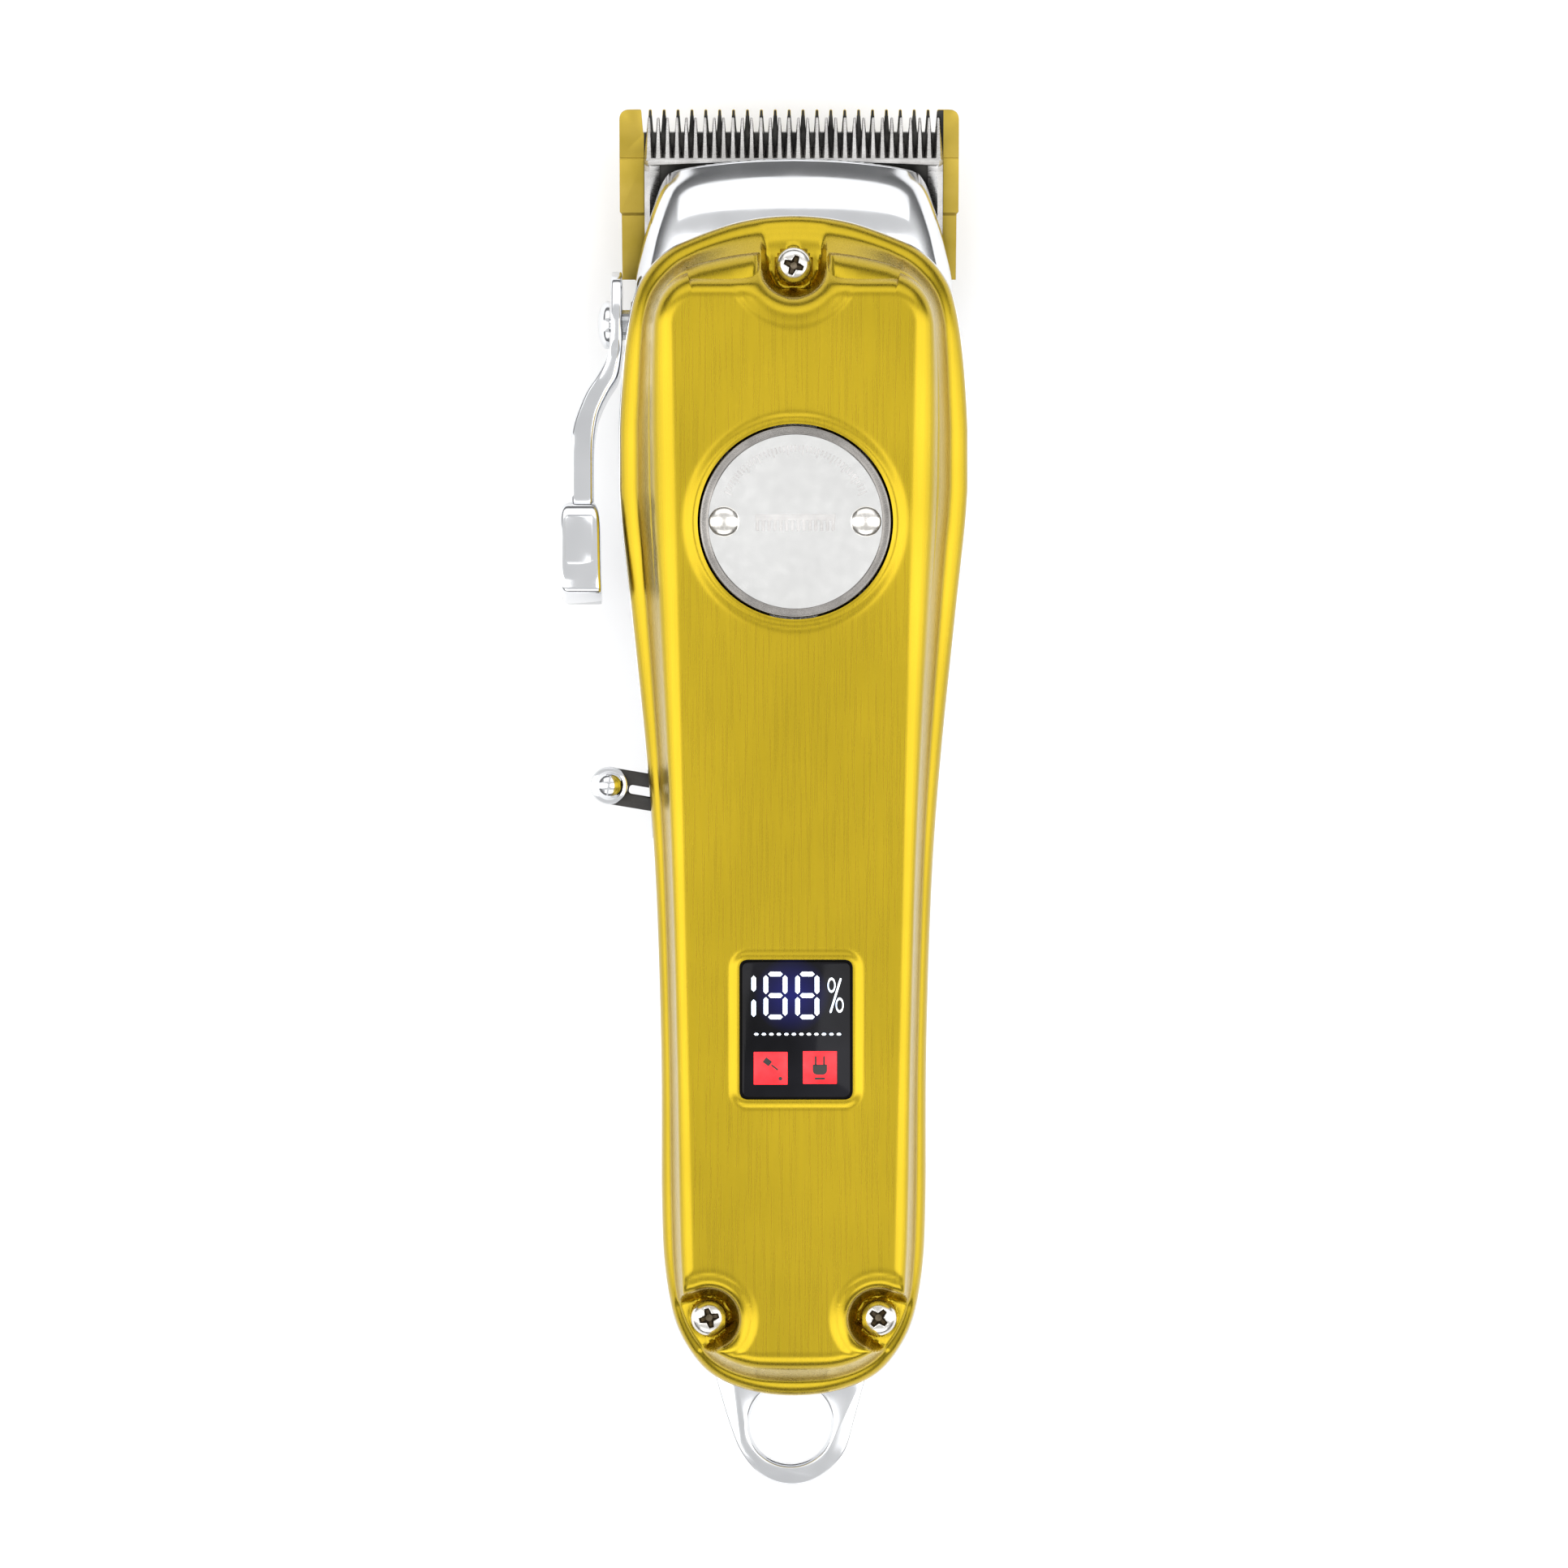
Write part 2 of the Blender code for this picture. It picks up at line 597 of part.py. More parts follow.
def blade_bay():
    """The space that the blades fill below the nose and in front of the base's front wall."""
    half = BODY_WIDTH
    heel = FIXED_HEEL - 0.6 * MM
    front, under = 12 * MM, -40 * MM
    corners = ((heel, -FIXED_THICKNESS - 0.8 * MM), (heel, BAY_W), (front, BAY_W), (front, under),
               (heel + 4 * MM, under))
    return prism("blade_bay", corners, -half, half, None, BLADE_FRAME, plane="YZ")


def base_housing():
    land = onto_flat(RIM, LAND_REAR_Y, LAND_FRONT_Y, LAND_REAR_HALF, LAND_FRONT_HALF, LAND_CORNER)
    rings = [level(RIM, SEAM_Z), level(RIM, SIDE_Z)] + shoulder(RIM, land, SIDE_Z, lambda y: 0.0)
    base = loft("base_housing", rings, "chrome")
    add(base, nose_form())

    inner = inset_rim(BASE_WALL, FRONT_WALL_Y)
    floor = onto_flat(inner, LAND_REAR_Y, LAND_FRONT_Y - 1 * MM, LAND_REAR_HALF - 0.5 * MM,
                      LAND_FRONT_HALF - 0.5 * MM, LAND_CORNER)
    hollow_rings = [level(inner, SEAM_Z + 1 * MM), level(inner, SIDE_Z)]
    hollow_rings += shoulder(inner, floor, SIDE_Z, lambda y: BASE_WALL, HOLLOW_STEPS)
    hollow = loft("base_hollow", hollow_rings)
    for side in (-1, 1):
        place = Matrix.Translation((side * REAR_SCREW_X, REAR_SCREW_Y, 0))
        cut(hollow, rod(f"base_boss_{side}", COVER_SHANK + BOSS_WALL, -1 * MM, LOOP_LOW_Z - GAP, None,
                        place))
    cut(base, hollow, blade_bay())

    throat = ((LEVER_Y - 3 * MM, 11 * MM), (LEVER_Y - 3 * MM, THROAT_Z), (76 * MM, THROAT_Z + 0.5 * MM),
              (82.3 * MM, 18.2 * MM), (82.3 * MM, 15.5 * MM))
    cut(base, prism("throat", throat, -THROAT_HALF, THROAT_HALF, None, None, plane="YZ"))
    slot_low = -FIXED_SEAT_DROP - 0.1 * MM
    cut(base, box("carriage_slot", (-18.0 * MM, -32 * MM, slot_low), (17.0 * MM, -17 * MM, 3 * MM), None,
                  BLADE_FRAME))
    pin_v, pin_w = cam_pin_place()
    cut(base, box("ear_pocket", (ear_outer_x() - GAP, -32.5 * MM, slot_low + 0.2 * MM),
                  (EAR_INNER_X + GAP, pin_v + EAR_FRONT + BLADE_TRAVEL + 0.4 * MM,
                   pin_w + EAR_TOP + 0.4 * MM), None, BLADE_FRAME))

    lever_place = Matrix.Translation((0, LEVER_Y, LEVER_Z)) @ ALONG_X
    bush = LEVER_SHAFT + RUNNING_GAP + LEVER_BUSH_WALL + GAP
    cut(base, rod("lever_bore", bush, -BODY_WIDTH, -10 * MM, None, lever_place))
    swing = SWITCH_INSET * math.sin(SWITCH_SWING / 2) + SWITCH_HALF / math.cos(SWITCH_SWING / 2) + 0.5 * MM
    cut(base, box("switch_notch", (-BODY_WIDTH, SWITCH_Y - swing, SWITCH_LOW_Z - GAP),
                  (switch_x() - 3 * MM, SWITCH_Y + swing, SEAM_Z + 5 * MM)))
    cut(base, box("loop_notch", (LOOP_X - LOOP_NECK_HALF - 0.6 * MM, REAR_Y - 5 * MM, LOOP_LOW_Z - GAP),
                  (LOOP_X + LOOP_NECK_HALF + 0.6 * MM, LOOP_FRONT_Y - 6 * MM, SEAM_Z + 5 * MM)))
    cut(base, prism("loop_seat", grown(loop_outline(), GAP), LOOP_LOW_Z - GAP, SEAM_Z + 5 * MM))
    socket_place = Matrix.Translation((0, 0, SOCKET_Z)) @ ALONG_Y
    cut(base, rod("socket_hole", SOCKET_RADIUS + GAP, REAR_Y - 5 * MM, REAR_Y + 8 * MM, None, socket_place))
    for name, x, y, pocket, floor_z in cover_boss_places():
        low = BASE_WALL + 8 * MM
        cut(base, rod(f"{name}_base_hole", COVER_SHANK + GAP, low, 2 * SEAM_Z, None,
                      Matrix.Translation((x, y, 0)), 16))
    return base


def cover_screws():
    for name, x, y, pocket, floor_z in cover_boss_places():
        place = Matrix.Translation((x, y, floor_z + GAP))
        length = floor_z - (FRONT_SCREW_END_Z if x == 0 else REAR_SCREW_END_Z)
        screw(name, COVER_HEAD, COVER_HEAD_HEIGHT, COVER_SHANK, length, place)


def loop_outline():
    """A ring outside the tail on a neck with an ear at each rear cover screw."""
    neck_y = REAR_Y + 2.6 * MM
    points = []
    for step in range(17):
        angle = math.pi + math.pi * step / 16
        points.append((LOOP_X + LOOP_RADIUS * math.cos(angle), LOOP_Y + LOOP_RADIUS * math.sin(angle)))
    shoulder_y = LOOP_FRONT_Y - 6.1 * MM
    right = [(LOOP_NECK_HALF, neck_y), (LOOP_NECK_HALF, shoulder_y)]
    left = [(LOOP_X - x, y) for x, y in reversed(right)]
    right = [(LOOP_X + x, y) for x, y in right]
    ear = [(REAR_SCREW_X + 0.9 * MM, REAR_SCREW_Y - 1.7 * MM), (REAR_SCREW_X + LOOP_EAR, REAR_SCREW_Y),
           (REAR_SCREW_X + LOOP_EAR - 0.6 * MM, LOOP_FRONT_Y)]
    right += ear
    left = [(-x, y) for x, y in reversed(ear)] + left
    return points + right + left


def grown(outline, gap):
    """A counter-clockwise outline with each point moved out along its corner's bisector."""
    points = [Vector(p) for p in outline]
    found = []
    for before, point, after in zip(points[-1:] + points[:-1], points, points[1:] + points[:1]):
        a, b = (point - before).normalized(), (after - point).normalized()
        out = Vector((a.y + b.y, -a.x - b.x)).normalized()
        found.append(point + out * gap / max(out.dot(Vector((a.y, -a.x))), 0.5))
    return found


def hanging_loop():
    """The loop's plate, clamped by the two rear cover screws."""
    loop = prism("hanging_loop", loop_outline(), LOOP_LOW_Z, LOOP_LOW_Z + LOOP_THICKNESS, "chrome")
    hole_place = Matrix.Translation((LOOP_X, LOOP_Y, 0))
    cut(loop, rod("loop_hole", LOOP_HOLE, 0, 2 * SEAM_Z, None, hole_place, 32))
    for side in (-1, 1):
        place = Matrix.Translation((side * REAR_SCREW_X, REAR_SCREW_Y, 0))
        cut(loop, rod(f"loop_ear_hole_{side}", COVER_SHANK + GAP, 0, 2 * SEAM_Z, None, place, 16))
    return loop


# ---------------------------------------------------------------- badge and display

def badge():
    place = top_place(BADGE_X, BADGE_Y)
    ring_top = 0.2 * MM
    ring_low = ring_top - BADGE_RING
    tube("badge_ring", BADGE_WINDOW, BADGE_RADIUS, ring_low, ring_top, "steel", place, 36)
    plate_top = ring_low - GAP
    plate = rod("badge_plate", BADGE_RADIUS - 0.2 * MM, plate_top - BADGE_PLATE, plate_top, "mirror_plate",
                place, 36)
    for side, name in ((-1, "left_badge_screw"), (1, "right_badge_screw")):
        spot = place @ Matrix.Translation((side * BADGE_SCREW_X, 0, 0))
        cut(plate, rod(f"{name}_plate_hole", 1.2 * MM, -5 * MM, 5 * MM, None, spot, 16))
        screw(name, 2.05 * MM, 1.2 * MM, 0.9 * MM, 2.4 * MM,
              spot @ Matrix.Translation((0, 0, plate_top + GAP)), recess=False)


def display():
    place = top_place(DISPLAY_X, DISPLAY_Y)
    lens_top = 0.1 * MM
    flange_top = -COVER_WALL - GAP
    face = rounded_rectangle(DISPLAY_WIDTH / 2, DISPLAY_LENGTH / 2, DISPLAY_CORNER)
    lens = prism("display_lens", face, flange_top - 0.5 * MM, lens_top, "glass_black", place)
    skirt = rounded_rectangle(DISPLAY_WIDTH / 2 + LENS_FLANGE, DISPLAY_LENGTH / 2 + LENS_FLANGE, 1.5 * MM)
    add(lens, prism("lens_flange", skirt, flange_top - 1.0 * MM, flange_top, None, place))
    module_top = flange_top - 1.0 * MM - GAP
    board_top = module_top - MODULE_RISE
    board_x = DISPLAY_WIDTH / 2 + LENS_FLANGE + 0.7 * MM
    board_y = DISPLAY_LENGTH / 2 + LENS_FLANGE + 0.95 * MM
    board = box("display_board", (-board_x, -board_y, board_top - MODULE_RISE),
                (board_x, board_y, board_top), "board_green", place)
    module_x, module_y = DISPLAY_WIDTH / 2 - 1.1 * MM, DISPLAY_LENGTH / 2 - 1.35 * MM
    add(board, box("display_module", (-module_x, -module_y, board_top - GAP),
                   (module_x, module_y, module_top), None, place))


# ---------------------------------------------------------------- blades

def toothed_plate(name, teeth, tip_w, stations, finish):
    """A plate with teeth along its front edge, in the blade frame.

    teeth: root left, root right, tip left, tip right, tip v. tip_w: top and bottom at the tips.
    stations: v, left, right, top, bottom from the root line backwards.
    """
    bm = bmesh.new()

    def pair(x, v, top, bottom):
        return bm.verts.new((x, v, top)), bm.verts.new((x, v, bottom))

    root_v, _, _, root_top, root_bottom = stations[0]
    front = []
    for root_left, root_right, tip_left, tip_right, tip_v in teeth:
        rl = pair(root_left, root_v, root_top, root_bottom)
        rr = pair(root_right, root_v, root_top, root_bottom)
        tl = pair(tip_left, tip_v, *tip_w)
        tr = pair(tip_right, tip_v, *tip_w)
        for side in (0, 1):
            bm.faces.new((rl[side], rr[side], tr[side], tl[side]))
        for a, b in ((rl, tl), (tl, tr), (tr, rr)):
            bm.faces.new((a[0], b[0], b[1], a[1]))
        if front:
            bm.faces.new((front[-1][0], rl[0], rl[1], front[-1][1]))
        front += [rl, rr]
    for v, left, right, top, bottom in stations[1:]:
        back = [pair(left, v, top, bottom), pair(right, v, top, bottom)]
        for side in (0, 1):
            bm.faces.new([p[side] for p in front] + [back[1][side], back[0][side]])
        for a, b in ((front[0], back[0]), (front[-1], back[1])):
            bm.faces.new((a[0], b[0], b[1], a[1]))
        front = back
    bm.faces.new((front[0][0], front[1][0], front[1][1], front[0][1]))
    return solid(bm, name, finish, BLADE_FRAME)


def fixed_blade():
    half = FIXED_WIDTH / 2
    left, right = FIXED_OFFSET_X - half, FIXED_OFFSET_X + half
    teeth = [(left, left + CORNER_TOOTH + 0.3 * MM, left + 0.7 * MM, left + CORNER_TOOTH, FIXED_REACH)]
    for i in range(FIXED_TEETH):
        x = FIXED_OFFSET_X + (i - (FIXED_TEETH - 1) / 2) * FIXED_PITCH
        teeth.append((x - 0.27 * FIXED_PITCH, x + 0.27 * FIXED_PITCH,
                      x - 0.12 * FIXED_PITCH, x + 0.12 * FIXED_PITCH, FIXED_REACH))
    teeth.append((right - CORNER_TOOTH - 0.3 * MM, right, right - CORNER_TOOTH, right - 0.7 * MM,
                  FIXED_REACH))
    stations = (
        (FIXED_ROOT, left, right, 0.0, -1.5 * MM),
        (FIXED_ROOT - 1.0 * MM, left, right, 0.0, -1.8 * MM),
        (FIXED_BEND, left, right, -0.5 * MM, -FIXED_THICKNESS),
        (FIXED_HEEL, left + 0.3 * MM, right - 0.3 * MM, -FIXED_SEAT_DROP, -FIXED_THICKNESS),
    )
    blade = toothed_plate("fixed_blade", teeth, (0.0, -TIP_THICKNESS), stations, "blade_gold")
    for side in (-1, 1):
        place = BLADE_FRAME @ Matrix.Translation((side * BLADE_SCREW_X, BLADE_SCREW_V, 0))
        cut(blade, rod(f"blade_hole_{side}", BLADE_SHANK + 0.35 * MM, -10 * MM, 10 * MM, None, place, 16))
        cut(blade, rod(f"blade_counterbore_{side}", BLADE_HEAD + 0.5 * MM, -10 * MM, HEAD_FLOOR_W, None,
                       place, 20))
    return blade


def moving_blade():
    half = MOVING_WIDTH / 2
    pitch = MOVING_WIDTH / MOVING_TEETH
    low = BLADE_GAP
    high = BLADE_GAP + MOVING_THICKNESS
    teeth = []
    for i in range(MOVING_TEETH):
        x = (i - (MOVING_TEETH - 1) / 2) * pitch
        teeth.append((x - 0.42 * pitch, x + 0.42 * pitch, x - 0.08 * pitch, x + 0.08 * pitch, 0.0))
    edge = half - 0.08 * pitch
    stations = (
        (MOVING_ROOT, -edge, edge, high - 0.4 * MM, low),
        (MOVING_LAND, -edge, edge, high, low),
        (MOVING_BACK + 2 * MM, -edge, edge, high, low),
        (MOVING_BACK, -edge + 1.5 * MM, edge - 1.5 * MM, high, low),
    )
    return toothed_plate("moving_blade", teeth, (low + TIP_THICKNESS, low), stations, "steel")


def blade_screws():
    for side, name in ((-1, "left_blade_screw"), (1, "right_blade_screw")):
        place = BLADE_FRAME @ Matrix.Translation((side * BLADE_SCREW_X, BLADE_SCREW_V, HEAD_FLOOR_W - GAP))
        place = place @ Matrix.Rotation(math.pi, 4, "X")
        screw(name, BLADE_HEAD, 1.0 * MM, BLADE_SHANK, 2.9 * MM, place)


def cam_pin_place():
    """The cam pin's centre in blade coordinates (v, w)."""
    local = BLADE_FRAME.inverted() @ Vector((0, LEVER_Y, LEVER_Z))
    return local.y, local.z - CAM_OFFSET


def lever_plane_x():
    """Inner face of the lever's plate, clear of the body where the plate passes it."""
    return -rim_half(LEVER_Y - 4 * MM) - GAP


def ear_outer_x():
    """Outer face of the carriage's ear, clear of the cam disc."""
    return cam_inner_x() + 0.9 * MM


def blade_carriage():
    """The sliding seat of the fixed blade, with a slotted ear around the cam pin."""
    low, high = -FIXED_SEAT_DROP + GAP, -FIXED_SEAT_DROP + GAP + 2.0 * MM
    pin_v, pin_w = cam_pin_place()
    carriage = box("blade_carriage", (-14.0 * MM, pin_v - 3.0 * MM, low), (14.0 * MM, -18.5 * MM, high),
                   "nylon", BLADE_FRAME)
    ear_x = ear_outer_x()
    ear = box("carriage_ear", (ear_x, pin_v - 2.6 * MM, low),
              (EAR_INNER_X, pin_v + EAR_FRONT, pin_w + EAR_TOP), None, BLADE_FRAME)
    cut(ear, box("ear_relief", (ear_x + 2.1 * MM, pin_v - 4 * MM, high), (0, pin_v + 4 * MM, 20 * MM), None,
                 BLADE_FRAME))
    add(carriage, ear)
    slot_half = CAM_PIN + RUNNING_GAP
    cut(carriage, box("ear_slot", (ear_x - 1 * MM, pin_v - slot_half, pin_w - CAM_PIN - 0.4 * MM),
                      (ear_x + 4 * MM, pin_v + slot_half, 20 * MM), None, BLADE_FRAME))
    for side in (-1, 1):
        place = BLADE_FRAME @ Matrix.Translation((side * BLADE_SCREW_X, BLADE_SCREW_V, 0))
        cut(carriage, rod(f"carriage_hole_{side}", BLADE_SHANK + GAP, -10 * MM, 10 * MM, None, place, 16))
    return carriage


def blade_spring():
    """A U-shaped leaf on the carriage whose two fingers press the moving blade down."""
    seat = -FIXED_SEAT_DROP + GAP + 2.0 * MM + GAP
    rest = BLADE_GAP + MOVING_THICKNESS + GAP
    thick = 0.4 * MM
    profile = ((-23.0, seat), (-18.9, seat), (-17.6, rest), (-12.5, rest))
    low = [(v * MM, w) for v, w in profile]
    outline = low + [(v, w + thick) for v, w in reversed(low)]
    spring = prism("blade_spring", outline, -9.2 * MM, 9.2 * MM, "steel", BLADE_FRAME, plane="YZ")
    cut(spring, box("spring_gap", (-7.0 * MM, -20.8 * MM, -5 * MM), (7.0 * MM, 0, 10 * MM), None,
                    BLADE_FRAME))
    return spring


def cutter_follower():
    """The nylon fork that the drive pin rocks from side to side, seated on the moving blade."""
    foot = BLADE_GAP + MOVING_THICKNESS + GAP
    front = blade_point(0, -11.8 * MM, foot)
    corner = blade_point(0, -23.0 * MM, foot)
    rear_y = MOTOR_FRONT_Y + 8.3 * MM
    top_z_here = THROAT_Z - 1.15 * MM
    outline = ((rear_y, corner.z), (corner.y, corner.z), (front.y, front.z), (front.y, front.z + 2.0 * MM),
               (corner.y + 3.7 * MM, top_z_here), (rear_y, top_z_here))
    half = FORK_GAP_HALF + FORK_FINGER
    fork = prism("cutter_follower", outline, -half, half, "plastic_white", None, plane="YZ")
    cut(fork, box("fork_gap", (-FORK_GAP_HALF, rear_y - 1 * MM, 0),
                  (FORK_GAP_HALF, rear_y + DRIVE_PIN_LENGTH + 1.2 * MM, 2 * SEAM_Z)))
    return fork


# ---------------------------------------------------------------- taper lever

def cam_inner_x():
    """Inner face of the cam disc, just inside the base's side wall."""
    inner_wall = side_x(LEVER_Y, LEVER_Z) * (1 - BASE_WALL / (BODY_WIDTH / 2))
    return -inner_wall + GAP + 1.2 * MM


def taper_lever():
    plane = lever_plane_x()
    chamfer = 0.5
    rings = []
    for along, inner, outer, height in LEVER_STATIONS:
        half = height / 2
        section = ((inner, half - chamfer), (inner + chamfer, half), (outer - chamfer, half),
                   (outer, half - chamfer), (outer, chamfer - half), (outer - chamfer, -half),
                   (inner + chamfer, -half), (inner, chamfer - half))
        rings.append([(-a * MM, -along * MM, b * MM) for a, b in section])
    place = Matrix.Translation((plane, LEVER_Y, LEVER_Z)) @ Matrix.Rotation(-LEVER_REST, 4, "X")
    lever = loft("taper_lever", rings, "chrome", place)
    cut(lever, rod("lever_eye", LEVER_SHAFT + GAP, -10 * MM, 10 * MM, None,
                   Matrix.Translation((plane, LEVER_Y, LEVER_Z)) @ ALONG_X))
    return lever


def lever_cam():
    """Shaft through the wall, disc inside it and the offset pin that moves the carriage."""
    plane, inner = lever_plane_x(), cam_inner_x()
    place = Matrix.Translation((0, LEVER_Y, LEVER_Z)) @ ALONG_X
    profile = ((LEVER_SHAFT, plane - LEVER_PLATE + 0.2 * MM), (LEVER_SHAFT, inner - 1.2 * MM),
               (CAM_DISC, inner - 1.2 * MM), (CAM_DISC, inner))
    cam = turned("lever_cam", profile, "steel", place)
    down = Matrix.Rotation(BLADE_TILT, 4, "X") @ Vector((0, 0, -CAM_OFFSET))
    pin_place = Matrix.Translation((0, LEVER_Y + down.y, LEVER_Z + down.z)) @ ALONG_X
    add(cam, rod("cam_pin", CAM_PIN, inner - 0.6 * MM, inner + CAM_PIN_LENGTH, None, pin_place, 16))
    cut(cam, rod("cam_thread", 1.1 * MM + GAP, -BODY_WIDTH, plane + 1.6 * MM, None, place, 16))
    return cam


def lever_screw():
    plane = lever_plane_x()
    place = Matrix.Translation((plane - LEVER_PLATE - GAP, LEVER_Y, LEVER_Z)) @ ALONG_X.inverted()
    screw("lever_screw", 3.2 * MM, 1.6 * MM, 1.1 * MM, 3.0 * MM, place, recess=False)


def lever_bushing():
    inner = LEVER_SHAFT + RUNNING_GAP
    wall_out = side_x(LEVER_Y, LEVER_Z)
    wall_in = wall_out * (1 - BASE_WALL / (BODY_WIDTH / 2))
    tube("lever_bushing", inner, inner + LEVER_BUSH_WALL, -wall_out + 0.1 * MM, -wall_in - 0.1 * MM,
         "nylon", Matrix.Translation((0, LEVER_Y, LEVER_Z)) @ ALONG_X)


# ---------------------------------------------------------------- motor

def motor():
    place = Matrix.Translation((0, 0, MOTOR_Z)) @ ALONG_Y
    front, rear = MOTOR_FRONT_Y, MOTOR_FRONT_Y - MOTOR_LENGTH
    inner = MOTOR_RADIUS - MOTOR_WALL
    hole = BEARING_RADIUS + GAP
    turned("motor_can", ((inner, rear), (MOTOR_RADIUS, rear), (MOTOR_RADIUS, front), (hole, front),
                         (hole, front - MOTOR_WALL), (inner, front - MOTOR_WALL)),
           "steel", place, 24, closed=True)
    cap_front = rear - GAP
    turned("motor_end_cap", ((hole, cap_front - 3 * MM), (MOTOR_RADIUS - 0.2 * MM, cap_front - 3 * MM),
                             (MOTOR_RADIUS - 0.2 * MM, cap_front), (hole, cap_front)),
           "plastic_black", place, 24, closed=True)
    bore = SHAFT_RADIUS + RUNNING_GAP
    tube("front_bearing", bore, BEARING_RADIUS, front - 1.5 * MM, front + 1.5 * MM, "copper", place, 16)
    tube("rear_bearing", bore, BEARING_RADIUS, cap_front - 2.6 * MM, cap_front - 0.2 * MM, "copper", place,
         16)
    magnet(place, "left_magnet", math.pi, inner, rear, front)
    magnet(place, "right_magnet", 0.0, inner, rear, front)
    for side, name in ((-1, "left_brush"), (1, "right_brush")):
        x = sorted((side * 3.4 * MM, side * 6.4 * MM))
        box(name, (x[0], rear + 1.6 * MM, MOTOR_Z - 1 * MM), (x[1], rear + 4.0 * MM, MOTOR_Z + 1 * MM),
            "copper")


def magnet(place, name, middle, inner, rear, front):
    outer_r, inner_r = inner - 2 * GAP, inner - 2.3 * MM
    arc = [middle + math.radians(62) * (i / 5 - 1) for i in range(11)]
    outline = [(outer_r * math.cos(a), outer_r * math.sin(a)) for a in arc]
    outline += [(inner_r * math.cos(a), inner_r * math.sin(a)) for a in reversed(arc)]
    prism(name, outline, rear + 6 * MM, front - 4 * MM, "ferrite", place)


def rotor():
    place = Matrix.Translation((0, 0, MOTOR_Z)) @ ALONG_Y
    front, rear = MOTOR_FRONT_Y, MOTOR_FRONT_Y - MOTOR_LENGTH
    bore = SHAFT_RADIUS + GAP
    core_radius = MOTOR_RADIUS - MOTOR_WALL - 2.9 * MM
    rod("rotor_shaft", SHAFT_RADIUS, rear - 3 * MM, front + 5 * MM, "steel", place, 16)
    core = tube("rotor_core", bore, core_radius, rear + 7 * MM, front - 5 * MM, "ferrite", place, 24)
    for i in range(3):
        slot = place @ Matrix.Rotation(2 * math.pi * i / 3, 4, "Z")
        cut(core, box(f"rotor_slot_{i}", (-0.6 * MM, 3.2 * MM, rear), (0.6 * MM, 2 * core_radius, front),
                      None, slot))
    tube("commutator", bore, 3.0 * MM, rear + 1 * MM, rear + 5 * MM, "copper", place, 18)
    wheel_low = front + 3.3 * MM
    wheel = rod("drive_eccentric", ECCENTRIC_RADIUS, wheel_low, wheel_low + ECCENTRIC_LENGTH, "steel",
                place)
    offset = place @ Matrix.Translation((0, CUTTER_STROKE, 0))
    top = wheel_low + ECCENTRIC_LENGTH
    add(wheel, rod("drive_pin_form", ECCENTRIC_PIN, top - 0.5 * MM, top + DRIVE_PIN_LENGTH, None, offset,
                   16))
    cut(wheel, rod("eccentric_bore", bore, wheel_low - 1 * MM, front + 5.4 * MM, None, place, 16))


def motor_bracket():
    """A plate across the base that the motor's front face is screwed to."""
    low, high = MOTOR_FRONT_Y + GAP, MOTOR_FRONT_Y + 1.8 * MM
    heights = (BASE_WALL + 2.2 * MM, 0.36 * SIDE_Z, 0.6 * SIDE_Z, SEAM_Z - 1 * MM)
    right = [(hollow_x(MOTOR_FRONT_Y, z) - BRACKET_CLEARANCE, z) for z in heights]
    outline = right + [(-x, z) for x, z in reversed(right)]
    rings = [[(x, y, z) for x, z in outline] for y in (low, high)]
    bracket = loft("motor_bracket", rings, "steel")
    axis = Matrix.Translation((0, 0, MOTOR_Z)) @ ALONG_Y
    cut(bracket, rod("bracket_bore", BEARING_RADIUS + GAP, 0, 2 * MOTOR_FRONT_Y, None, axis))
    for side, name in ((-1, "left_motor_screw"), (1, "right_motor_screw")):
        spot = Matrix.Translation((side * 7.5 * MM, 0, MOTOR_Z)) @ ALONG_Y
        cut(bracket, rod(f"{name}_hole", 1.3 * MM, 0, 2 * MOTOR_FRONT_Y, None, spot, 12))
        cut(bpy.data.objects["motor_can"], rod(f"{name}_thread", 1.3 * MM, MOTOR_FRONT_Y - 2 * MM,
                                               2 * MOTOR_FRONT_Y, None, spot, 12))
        screw(name, 1.8 * MM, 1.1 * MM, 1.0 * MM, 2.6 * MM, spot @ Matrix.Translation((0, 0, high + GAP)),
              recess=False, segments=12)


# ---------------------------------------------------------------- battery, boards, socket, switch

def battery():
    place = Matrix.Translation((0, 0, CELL_Z)) @ ALONG_Y
    rear = CELL_FRONT_Y - CELL_LENGTH
    wrap_end, cap_face = CELL_FRONT_Y - 1 * MM, CELL_FRONT_Y - 0.8 * MM
    cap, nub = 0.9 * CELL_RADIUS, 0.32 * CELL_RADIUS
    turned("battery_cell", ((CELL_RADIUS, rear), (CELL_RADIUS, wrap_end), (cap, wrap_end), (cap, cap_face),
                            (nub, cap_face), (nub, CELL_FRONT_Y)), "cell_wrap", place, 22)
    inner = CELL_RADIUS + GAP
    outer = inner + CRADLE_WALL
    arc = [math.radians(35 + 110 * i / 10) for i in range(11)]
    outline = [(outer * math.cos(a), outer * math.sin(a)) for a in arc]
    outline += [(inner * math.cos(a), inner * math.sin(a)) for a in reversed(arc)]
    prism("battery_cradle", outline, rear + 4 * MM, CELL_FRONT_Y - 4 * MM, "plastic_black", place)


